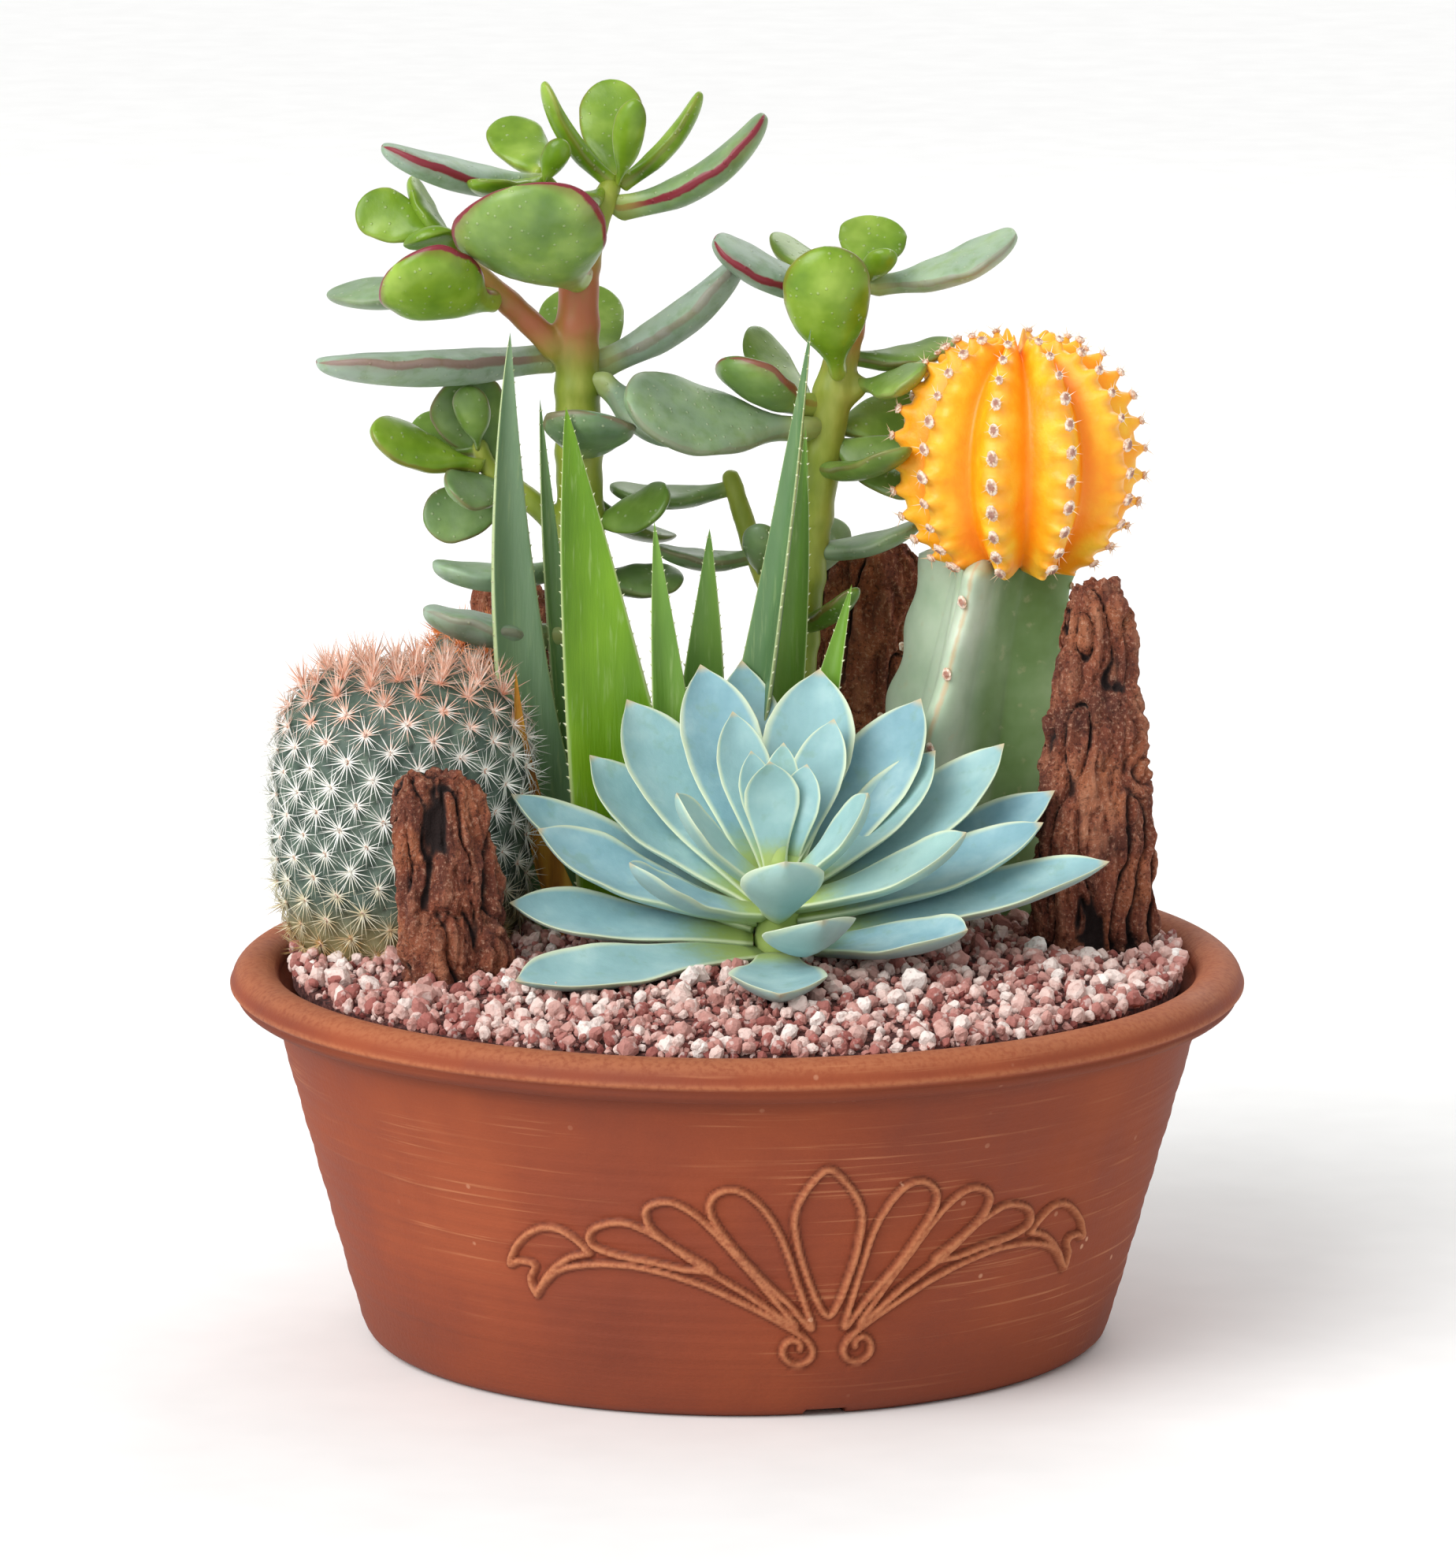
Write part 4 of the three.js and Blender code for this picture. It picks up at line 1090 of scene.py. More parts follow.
class PLANTED_OT_echeveria(bpy.types.Operator):
    """Makes the echeveria rosette"""

    bl_idname = "planted.echeveria"
    bl_label = "Echeveria rosette"

    def execute(self, context):
        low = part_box("echeveria_heart")[0]
        nodes = sorted(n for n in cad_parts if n.startswith("echeveria_leaf_"))
        for node in nodes:
            leaves = find_leaves(node, "echeveria")
            if len(leaves) != 1:
                raise RuntimeError(f"{node} has {len(leaves)} leaf tips")
            draw = random.Random(node)
            look = (draw.random() * 0.5, 0, 0)
            name = node.replace("echeveria_leaf", "rosette_leaf")
            join_leaves(
                name, leaves, "echeveria", [look], finish_of("echeveria"), "echeveria_leaf", [node],
                0.8,
            )
        heart = find_leaves("echeveria_heart", "echeveria")
        foot = np.mean([leaf["bent"][0] for leaf in heart], axis=0) / MM
        base = np.array([foot[0], foot[1] + 3, low[2] / MM])
        core = stem_tube(
            [
                [*base, 5.2], [foot[0], foot[1] + 3, foot[2] - 12, 5.2],
                [foot[0], foot[1] + 1, foot[2] - 4, 4.2],
            ],
        )
        looks = [(0.5 + 0.3 * (k % 3) / 2, 0, 0) for k in range(len(heart))]
        join_leaves(
            "rosette_heart", heart, "echeveria", looks, finish_of("echeveria"), "echeveria_leaf",
            ["echeveria_heart"], 0.5, core,
        )
        return {"FINISHED"}


# ---- Geometry Nodes -----------------------------------------------------------------------------
def node_group(name, sockets):
    """An empty node group with named inputs: its tree, its inputs and its output node."""
    tree = bpy.data.node_groups.new(name, "GeometryNodeTree")
    tree.interface.new_socket("Geometry", in_out="INPUT", socket_type="NodeSocketGeometry")
    for key, kind in sockets.items():
        tree.interface.new_socket(key, in_out="INPUT", socket_type="NodeSocket" + kind)
    tree.interface.new_socket("Geometry", in_out="OUTPUT", socket_type="NodeSocketGeometry")
    given = tree.nodes.new("NodeGroupInput").outputs
    return tree, given, tree.nodes.new("NodeGroupOutput")


def end_group(tree, geometry, material, out):
    """Makes the instances real, gives them their material and ends the tree."""
    real = add(tree, "GeometryNodeRealizeInstances", {"Geometry": geometry}).outputs["Geometry"]
    done = add(tree, "GeometryNodeSetMaterial", {"Geometry": real, "Material": material})
    set_input(out, "Geometry", done.outputs["Geometry"])
    return tree


def grown(thing, tree, values):
    """Runs a node group on an object with its named inputs set, and keeps the result as the object."""
    modifier = thing.modifiers.new("Grow", "NODES")
    modifier.node_group = tree
    for item in tree.interface.items_tree:
        if item.item_type == "SOCKET" and item.in_out == "INPUT" and item.name in values:
            modifier[item.identifier] = values[item.name]
    return applied(thing)


def stones_group():
    """Stones of five broken shapes scattered over faces, each with its own size, turn and tint."""
    tree, given, out = node_group(
        "ScatteredStones",
        {
            "Density": "Float", "Gap": "Float", "Size": "Float", "Rise": "Float", "Pale": "Float",
            "Detail": "Int", "Clear": "Object", "Seed": "Int", "Material": "Material",
        },
    )
    spots = add(
        tree, "GeometryNodeDistributePointsOnFaces",
        {
            "Mesh": given["Geometry"], "Density Max": given["Density"], "Distance Min": given["Gap"],
            "Seed": given["Seed"],
        },
        distribute_method="POISSON",
    )
    # no stone lies inside a plant or a piece of bark
    planted = add(tree, "GeometryNodeObjectInfo", {"Object": given["Clear"]}).outputs["Geometry"]
    clearance = add(tree, "GeometryNodeProximity", {0: planted}, target_element="FACES").outputs["Distance"]
    pressed = add(
        tree, "FunctionNodeCompare", {0: clearance, 1: add(tree, "Math", [given["Size"], 0.45])},
        operation="LESS_THAN",
    )
    free = add(
        tree, "GeometryNodeDeleteGeometry",
        {"Geometry": spots.outputs["Points"], "Selection": pressed.outputs[0]},
    )
    lift = add(tree, "CombineXYZ", {"Z": given["Rise"]})
    laid = add(tree, "GeometryNodeSetPosition", {"Geometry": free.outputs[0], "Offset": lift.outputs[0]})
    variants = add(tree, "GeometryNodeGeometryToInstance")
    for k in range(5):
        ball = add(tree, "GeometryNodeMeshIcoSphere", {"Radius": 0.5, "Subdivisions": given["Detail"]})
        at = add(tree, "GeometryNodeInputPosition").outputs[0]
        moved = add(tree, "VectorMath", {0: at, 1: (3.1 * k, 1.7 * k, 5.3 * k)}, operation="ADD")
        rough = add(tree, "TexVoronoi", {"Vector": moved.outputs[0], "Scale": 1.5}, feature="F1")
        grow_by = add(
            tree, "Math", [1.3, add(tree, "Math", [rough.outputs["Distance"], 0.75])],
            operation="SUBTRACT",
        )
        shaped = add(tree, "VectorMath", {0: at, "Scale": grow_by}, operation="SCALE")
        flat = add(
            tree, "VectorMath",
            {0: shaped.outputs[0], 1: (1.0 + 0.12 * (k % 3), 0.95 - 0.07 * (k % 2), 0.78 + 0.05 * k)},
            operation="MULTIPLY",
        )
        stone = add(
            tree, "GeometryNodeSetPosition",
            {"Geometry": ball.outputs["Mesh"], "Position": flat.outputs[0]},
        )
        set_input(variants, "Geometry", stone.outputs["Geometry"])
    turn = add(
        tree, "FunctionNodeRandomValue", {0: (0, 0, 0), 1: (6.28, 6.28, 6.28), "Seed": given["Seed"]},
        data_type="FLOAT_VECTOR",
    )
    size = add(
        tree, "Math",
        [
            given["Size"],
            add(tree, "FunctionNodeRandomValue", {2: 0.62, 3: 1.38, "Seed": 11}, data_type="FLOAT"),
        ],
    )
    placed = add(
        tree, "GeometryNodeInstanceOnPoints",
        {
            "Points": laid.outputs["Geometry"], "Instance": variants.outputs[0], "Pick Instance": True,
            "Rotation": turn.outputs[0], "Scale": size,
        },
    )
    pick = add(tree, "FunctionNodeRandomValue", {4: 0, 5: 4, "Seed": 5}, data_type="INT")
    set_input(placed, "Instance Index", pick.outputs[2])
    tint = add(
        tree, "Math",
        [
            add(tree, "FunctionNodeRandomValue", {2: 0.0, 3: 0.72, "Seed": 17}, data_type="FLOAT"),
            given["Pale"],
        ],
        operation="ADD",
    )
    tinted = add(
        tree, "GeometryNodeStoreNamedAttribute",
        {"Geometry": placed.outputs[0], "Name": "tint", "Value": tint}, data_type="FLOAT", domain="INSTANCE",
    )
    return end_group(tree, tinted.outputs["Geometry"], given["Material"], out)


def spines_group():
    """A star of thin three-sided spines on every areole, turned to the skin's normal and spun at random."""
    tree, given, out = node_group(
        "SpineStars",
        {"Count": "Int", "Length": "Float", "Thickness": "Float", "Lean Low": "Float", "Lean High": "Float",
         "Seed": "Int", "Material": "Material"},
    )
    cone = add(
        tree, "GeometryNodeMeshCone",
        {
            "Vertices": 3, "Side Segments": 1, "Fill Segments": 1, "Radius Top": 0.0,
            "Radius Bottom": given["Thickness"], "Depth": given["Length"],
        },
        fill_type="NGON",
    )
    spots = add(tree, "GeometryNodePoints", {"Count": given["Count"]})
    number = add(tree, "GeometryNodeInputIndex").outputs[0]
    step = add(tree, "Math", [2 * math.pi, given["Count"]], operation="DIVIDE")
    spin = add(
        tree, "Math",
        [
            add(tree, "Math", [number, step]),
            add(tree, "FunctionNodeRandomValue", {2: -0.18, 3: 0.18, "Seed": 3}, data_type="FLOAT"),
        ],
        operation="ADD",
    )
    lean = add(
        tree, "FunctionNodeRandomValue", {2: given["Lean Low"], 3: given["Lean High"], "Seed": 8},
        data_type="FLOAT",
    ).outputs[1]
    turn = add(tree, "CombineXYZ", {"Y": lean, "Z": spin})
    star = add(
        tree, "GeometryNodeInstanceOnPoints",
        {
            "Points": spots.outputs[0], "Instance": cone.outputs["Mesh"], "Rotation": turn.outputs[0],
            "Scale": add(tree, "FunctionNodeRandomValue", {2: 0.78, 3: 1.12, "Seed": 6}, data_type="FLOAT"),
        },
    )
    outward = add(
        tree, "GeometryNodeInputNamedAttribute", {"Name": "outward"}, data_type="FLOAT_VECTOR",
    ).outputs[0]
    size = add(tree, "GeometryNodeInputNamedAttribute", {"Name": "size"}, data_type="FLOAT").outputs[0]
    facing = add(tree, "FunctionNodeAlignRotationToVector", {"Vector": outward}, axis="Z")
    own = add(
        tree, "CombineXYZ",
        {
            "Z": add(
                tree, "FunctionNodeRandomValue", {2: 0.0, 3: 6.28, "Seed": given["Seed"]},
                data_type="FLOAT",
            ),
        },
    )
    spun = add(
        tree, "FunctionNodeRotateRotation", {"Rotation": facing.outputs[0], "Rotate By": own.outputs[0]},
        rotation_space="LOCAL",
    )
    stars = add(
        tree, "GeometryNodeInstanceOnPoints",
        {
            "Points": given["Geometry"], "Instance": star.outputs[0], "Rotation": spun.outputs[0],
            "Scale": size,
        },
    )
    return end_group(tree, stars.outputs[0], given["Material"], out)


def teeth_group():
    """Small hooked teeth spaced along the margins of a leaf."""
    tree, given, out = node_group(
        "MarginTeeth", {"Gap": "Float", "Length": "Float", "Seed": "Int", "Material": "Material"}
    )
    line = add(tree, "GeometryNodeMeshToCurve", {"Mesh": given["Geometry"]})
    spaced = add(
        tree, "GeometryNodeResampleCurve", {"Curve": line.outputs[0], "Length": given["Gap"]}, mode="LENGTH"
    )
    spots = add(tree, "GeometryNodeCurveToPoints", {"Curve": spaced.outputs[0]}, mode="EVALUATED")
    cone = add(
        tree, "GeometryNodeMeshCone",
        {
            "Vertices": 4, "Side Segments": 2, "Fill Segments": 1, "Radius Top": 0.0,
            "Depth": given["Length"], "Radius Bottom": add(tree, "Math", [given["Length"], 0.42]),
        },
        fill_type="NGON",
    )
    outward = add(
        tree, "GeometryNodeInputNamedAttribute", {"Name": "outward"}, data_type="FLOAT_VECTOR",
    ).outputs[0]
    size = add(tree, "GeometryNodeInputNamedAttribute", {"Name": "size"}, data_type="FLOAT").outputs[0]
    facing = add(tree, "FunctionNodeAlignRotationToVector", {"Vector": outward}, axis="Z")
    scale = add(
        tree, "Math",
        [
            size,
            add(
                tree, "FunctionNodeRandomValue", {2: 0.7, 3: 1.25, "Seed": given["Seed"]},
                data_type="FLOAT",
            ),
        ],
    )
    teeth = add(
        tree, "GeometryNodeInstanceOnPoints",
        {
            "Points": spots.outputs[0], "Instance": cone.outputs["Mesh"], "Rotation": facing.outputs[0],
            "Scale": scale,
        },
    )
    return end_group(tree, teeth.outputs[0], given["Material"], out)


def pads_group():
    """Felted areole pads on points, lying flat against the skin, with a darker middle."""
    tree, given, out = node_group("AreolePads", {"Width": "Float", "Seed": "Int", "Material": "Material"})
    ball = add(tree, "GeometryNodeMeshUVSphere", {"Segments": 12, "Rings": 7, "Radius": 0.5})
    at = add(tree, "GeometryNodeInputPosition").outputs[0]
    high = add(tree, "SeparateXYZ", {0: at}).outputs["Z"]
    marked = add(
        tree, "GeometryNodeStoreNamedAttribute",
        {"Geometry": ball.outputs["Mesh"], "Name": "centre", "Value": add(tree, "Math", [high, 2.0])},
        data_type="FLOAT", domain="POINT",
    )
    wool = add(tree, "TexNoise", {"Vector": at, "Scale": 5.0, "Detail": 2.0}).outputs["Fac"]
    puffed = add(
        tree, "VectorMath", {0: at, "Scale": add(tree, "Math", [0.6, wool], operation="ADD")},
        operation="SCALE",
    )
    flat = add(tree, "VectorMath", {0: puffed.outputs[0], 1: (0.8, 1.15, 0.5)}, operation="MULTIPLY")
    pad = add(
        tree, "GeometryNodeSetPosition",
        {"Geometry": marked.outputs["Geometry"], "Position": flat.outputs[0]},
    )
    outward = add(
        tree, "GeometryNodeInputNamedAttribute", {"Name": "outward"}, data_type="FLOAT_VECTOR",
    ).outputs[0]
    size = add(tree, "GeometryNodeInputNamedAttribute", {"Name": "size"}, data_type="FLOAT").outputs[0]
    facing = add(tree, "FunctionNodeAlignRotationToVector", {"Vector": outward}, axis="Z")
    scale = add(
        tree, "Math",
        [
            add(tree, "Math", [size, given["Width"]]),
            add(
                tree, "FunctionNodeRandomValue", {2: 0.8, 3: 1.2, "Seed": given["Seed"]},
                data_type="FLOAT",
            ),
        ],
    )
    pads = add(
        tree, "GeometryNodeInstanceOnPoints",
        {
            "Points": given["Geometry"], "Instance": pad.outputs["Geometry"],
            "Rotation": facing.outputs[0], "Scale": scale,
        },
    )
    return end_group(tree, pads.outputs[0], given["Material"], out)


GROUP_MAKERS = {"stones": stones_group, "spines": spines_group, "teeth": teeth_group, "pads": pads_group}
made_groups = {}


def group_of(key):
    """The node group of that name, made once."""
    if key not in made_groups:
        made_groups[key] = GROUP_MAKERS[key]()
    return made_groups[key]


def spots_object(name, points, outward, size, edges=()):
    """Loose points, each with the way it faces and a size, for a node group to grow things on."""
    mesh = bpy.data.meshes.new(name)
    mesh.from_pydata(np.asarray(points, float).tolist(), [tuple(e) for e in edges], [])
    way = mesh.attributes.new("outward", "FLOAT_VECTOR", "POINT")
    way.data.foreach_set("vector", np.asarray(outward, np.float32).ravel())
    scale = mesh.attributes.new("size", "FLOAT", "POINT")
    scale.data.foreach_set("value", np.asarray(size, np.float32))
    thing = bpy.data.objects.new(name, mesh)
    bpy.context.scene.collection.objects.link(thing)
    return thing


# ---- Aloe ---------------------------------------------------------------------------------------
class PLANTED_OT_aloe(bpy.types.Operator):
    """Makes the aloe: its leaves, the teeth along their margins and the dead leaf"""

    bl_idname = "planted.aloe"
    bl_label = "Aloe"

    def execute(self, context):
        settings = context.scene.leaf_settings
        for number, (node, (tint, bloom)) in enumerate([*ALOE_LOOKS.items(), ("aloe_leaf_dry", (0, 0))]):
            leaves = find_leaves(node, "aloe")
            if len(leaves) != 1:
                raise RuntimeError(f"{node} has {len(leaves)} leaf tips")
            dry = node.endswith("dry")
            name = node.replace("aloe_leaf", "aloe_blade")
            finish, slot = (finish_of("dry_leaf"), "dry_leaf") if dry else (finish_of("aloe"), "aloe_leaf")
            join_leaves(name, leaves, "aloe", [(tint, bloom, 0)], finish, slot, [node], 3.0 if dry else 0.6)
            if dry:
                continue
            rings = leaf_surface(leaves[0], "aloe", settings.around, settings.along, f"{name}0", 0.6)[3]
            points, ways, sizes, edges = [], [], [], []
            for side in (0, settings.around // 2):
                first = int(0.1 * len(rings))
                for k in range(first, len(rings) - 1):
                    out = rings[k, side] - rings[k].mean(axis=0)
                    out /= np.linalg.norm(out)
                    ahead = rings[k + 1, side] - rings[k, side]
                    ahead /= np.linalg.norm(ahead)
                    if k > first:
                        edges.append((len(points) - 1, len(points)))
                    points.append(rings[k, side] - out * 0.12 * MM)
                    ways.append(out + ahead * 0.75)
                    sizes.append(1 - 0.55 * k / len(rings))
            teeth = grown(
                spots_object(name.replace("blade", "teeth"), points, ways, sizes, edges),
                group_of("teeth"),
                {
                    "Gap": settings.tooth_gap, "Length": settings.tooth_length, "Seed": number,
                    "Material": finish_of("aloe_tooth"),
                },
            )
            settle(teeth, None, "aloe_leaf")
        return {"FINISHED"}


# ---- The bowl -----------------------------------------------------------------------------------
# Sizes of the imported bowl, in millimetres
FOOT_RADIUS = 80.8
WALL_SLOPE = 0.277
WALL = 6.6
RIM_BOTTOM = 73.6
MOUTH_RADIUS = 97.5
ROLL = (104.75, 78.3, 5.25, 4.7)  # the rim's rolled section: middle radius, middle height, half-sizes
DRAIN_RADIUS, FOOT_RECESS, FLOOR_TOP, FOOT_RING_INNER = 9.0, 2.0, 9.0, 62.0
NOTCH_TURN, NOTCH_HALF_ANGLE, NOTCH_HEIGHT = math.radians(13.5), math.radians(3.2), 1.6

# The relief, a palmette: lines of [mm round the wall from its middle, mm up], with a flag for a closed loop.
# The lines off the middle are repeated, mirrored, on the other side.
PALMETTE_MIDDLE = [
    (
        True,
        [
            [0, 57.2], [-3.4, 54.4], [-6.3, 49.8], [-7.2, 45.4], [-6.4, 39.5], [-4.6, 33], [-2.4, 27],
            [0, 23.6], [2.4, 27], [4.6, 33], [6.4, 39.5], [7.2, 45.4], [6.3, 49.8], [3.4, 54.4],
        ],
    ),
]
PALMETTE_SIDE = [
    (
        True,
        [
            [-3.6, 20.8], [-6.2, 30.2], [-9.6, 41.0], [-13, 47.6], [-17.1, 51.9], [-20.9, 53],
            [-24.2, 51.4], [-24.8, 47.8], [-22, 42.6], [-15.6, 34.4], [-8.4, 26.6],
        ],
    ),
    (
        True,
        [
            [-7, 21.4], [-13.4, 30.2], [-21.2, 40], [-26.7, 46.2], [-31, 49.2], [-34.4, 50],
            [-37.9, 48.6], [-38.2, 45.6], [-35.3, 41.8], [-26.9, 35.4], [-15.6, 27.9],
        ],
    ),
    (
        True,
        [
            [-24.5, 34.6], [-30, 38.2], [-36, 41.9], [-41.6, 44.4], [-45.8, 44.5], [-50.2, 42.4],
            [-50, 39.2], [-45, 37.3], [-37, 36.0], [-30, 34.6],
        ],
    ),
    (
        False,
        [
            [-50.5, 37.2], [-54.2, 40.4], [-58.6, 42.2], [-63.2, 41.2], [-67.4, 37.4], [-69.4, 32.6],
            [-66.8, 33.6], [-63.4, 33.0], [-64.4, 29.6], [-62.9, 26.2],
        ],
    ),
    (
        False,
        [
            [-62.9, 26.2], [-60.6, 29.8], [-57.4, 32.6], [-52, 34.3], [-46, 34.9], [-38, 34.4],
            [-27, 31.2], [-16, 25.9], [-7.6, 20.6], [-4.2, 17.6], [-3.4, 14.8], [-5.0, 12.9],
            [-7.6, 12.8], [-9.5, 14.6], [-9.4, 17], [-7.8, 18.3], [-6.1, 17.5], [-6.0, 16],
        ],
    ),
    (False, [[-62.9, 26.2], [-60.2, 31.2], [-55.6, 35.4], [-50.5, 37.2]]),
]


def sampled(control, closed, step=0.25):
    """Points every step mm or so along a smooth line through control points."""
    p = np.asarray(control, float)
    n = len(p)
    found = []
    for i in range(n if closed else n - 1):
        q = [p[j % n] if closed else p[min(max(j, 0), n - 1)] for j in (i - 1, i, i + 1, i + 2)]
        count = max(2, int(np.linalg.norm(q[2] - q[1]) / step))
        t = (np.arange(count) / count)[:, None]
        found.append(
            0.5 * (2 * q[1] + (q[2] - q[0]) * t + (2 * q[0] - 5 * q[1] + 4 * q[2] - q[3]) * t**2
                   + (3 * q[1] - q[0] - 3 * q[2] + q[3]) * t**3)
        )
    return np.vstack(found)


def inside_loop(points, loop):
    """Which points lie inside a closed line."""
    inside = np.zeros(len(points), bool)
    for a, b in zip(loop, np.roll(loop, -1, axis=0)):
        crosses = (a[1] > points[:, 1]) != (b[1] > points[:, 1])
        with np.errstate(divide="ignore", invalid="ignore"):
            at = a[0] + (points[:, 1] - a[1]) / (b[1] - a[1]) * (b[0] - a[0])
        inside ^= crosses & (points[:, 0] < at)
    return inside


def palmette_height(points, bead_width, bead_height):
    """How far the relief stands out at points in mm, how near each lies to a bead (0-1) and how deep it lies
    in the groove beside one (0-1): masks for the painted highlight and painted shade.
    """
    lines = list(PALMETTE_MIDDLE)
    for closed, control in PALMETTE_SIDE:
        lines.append((closed, control))
        lines.append((closed, [[-x * 0.96, z] for x, z in control]))
    nearest = np.full(len(points), 1e9)
    petals = np.zeros(len(points), bool)
    for closed, control in lines:
        line = sampled(control, closed)
        for start in range(0, len(points), 4000):
            part = points[start : start + 4000]
            gap = np.sqrt(((part[:, None] - line[None]) ** 2).sum(axis=2)).min(axis=1)
            nearest[start : start + 4000] = np.minimum(nearest[start : start + 4000], gap)
        if closed:
            petals |= inside_loop(points, line)
    reach = nearest / (bead_width / 2)
    bead = np.sqrt(np.clip(1 - reach**2, 0, 1)) * bead_height
    groove = np.exp(-(((reach - 1.25) / 0.32) ** 2)) * (reach > 0.8)
    height = bead - groove * 0.22 - np.where(petals & (reach > 1), 0.18, 0)
    return height, np.clip(1.25 - reach, 0, 1), groove


def wall_radius(height):
    """The bowl's outer radius at a height."""
    return FOOT_RADIUS + WALL_SLOPE * height


def bowl_profile():
    """The bowl's closed section as [radius, height] in mm: underside, wall, rolled rim, inside and floor."""
    roll_r, roll_z, half_r, half_z = ROLL
    rows = [
        [DRAIN_RADIUS + 0.8, FOOT_RECESS], [20, FOOT_RECESS], [40, FOOT_RECESS],
        [FOOT_RING_INNER - 1.5, FOOT_RECESS], [FOOT_RING_INNER - 0.4, 1.4],
        [FOOT_RING_INNER + 0.4, 0.3], [FOOT_RING_INNER + 1.2, 0], [70, 0],
    ]
    rows += [[FOOT_RADIUS - 3.4, 0], [FOOT_RADIUS - 2.0, 0.25], [FOOT_RADIUS - 0.9, 0.9], [FOOT_RADIUS, 1.7]]
    rows += [[wall_radius(z) - 0.25 * math.exp(-(z - 2.6) / 1.6), z] for z in np.arange(2.6, 12, 1.2)]
    rows += [[wall_radius(z), z] for z in np.arange(12, 59.5, 0.5)]
    rows += [[wall_radius(z), z] for z in np.arange(60, RIM_BOTTOM - 3, 1.6)]
    # the wall flares a little into the underside of the rim
    rows += [
        [wall_radius(71.2) + 0.1, 71.2], [wall_radius(72.2) + 0.5, 72.3],
        [wall_radius(73) + 1.6, 73.05], [wall_radius(73.4) + 3.0, 73.3],
    ]
    for degrees in range(-62, 176, 4):
        a = math.radians(degrees)
        radius, height = roll_r + half_r * math.cos(a), roll_z + half_z * math.sin(a)
        # the turned-down lower edge is marked off by a shallow crease, then a thin ridge
        crease = -0.75 * math.exp(-(((degrees + 24) / 9) ** 2)) + 0.4 * math.exp(-(((degrees + 4) / 8) ** 2))
        flat_top = 0.25 * math.exp(-(((degrees - 70) / 22) ** 2))
        rows.append([radius + crease * math.cos(a), height + crease * math.sin(a) + flat_top * 0.2])
    rows += [
        [MOUTH_RADIUS, roll_z - 1], [wall_radius(RIM_BOTTOM) - WALL, RIM_BOTTOM],
        [wall_radius(60) - WALL, 60], [wall_radius(40) - WALL, 40],
    ]
    rows += [
        [wall_radius(13) - WALL, 13], [wall_radius(10.5) - WALL - 1.4, 10.5],
        [wall_radius(9) - WALL - 5, FLOOR_TOP], [50, FLOOR_TOP],
    ]
    rows += [
        [25, FLOOR_TOP], [DRAIN_RADIUS + 0.6, FLOOR_TOP], [DRAIN_RADIUS, FLOOR_TOP - 0.7],
        [DRAIN_RADIUS, FOOT_RECESS + 0.8],
    ]
    return np.array(rows)


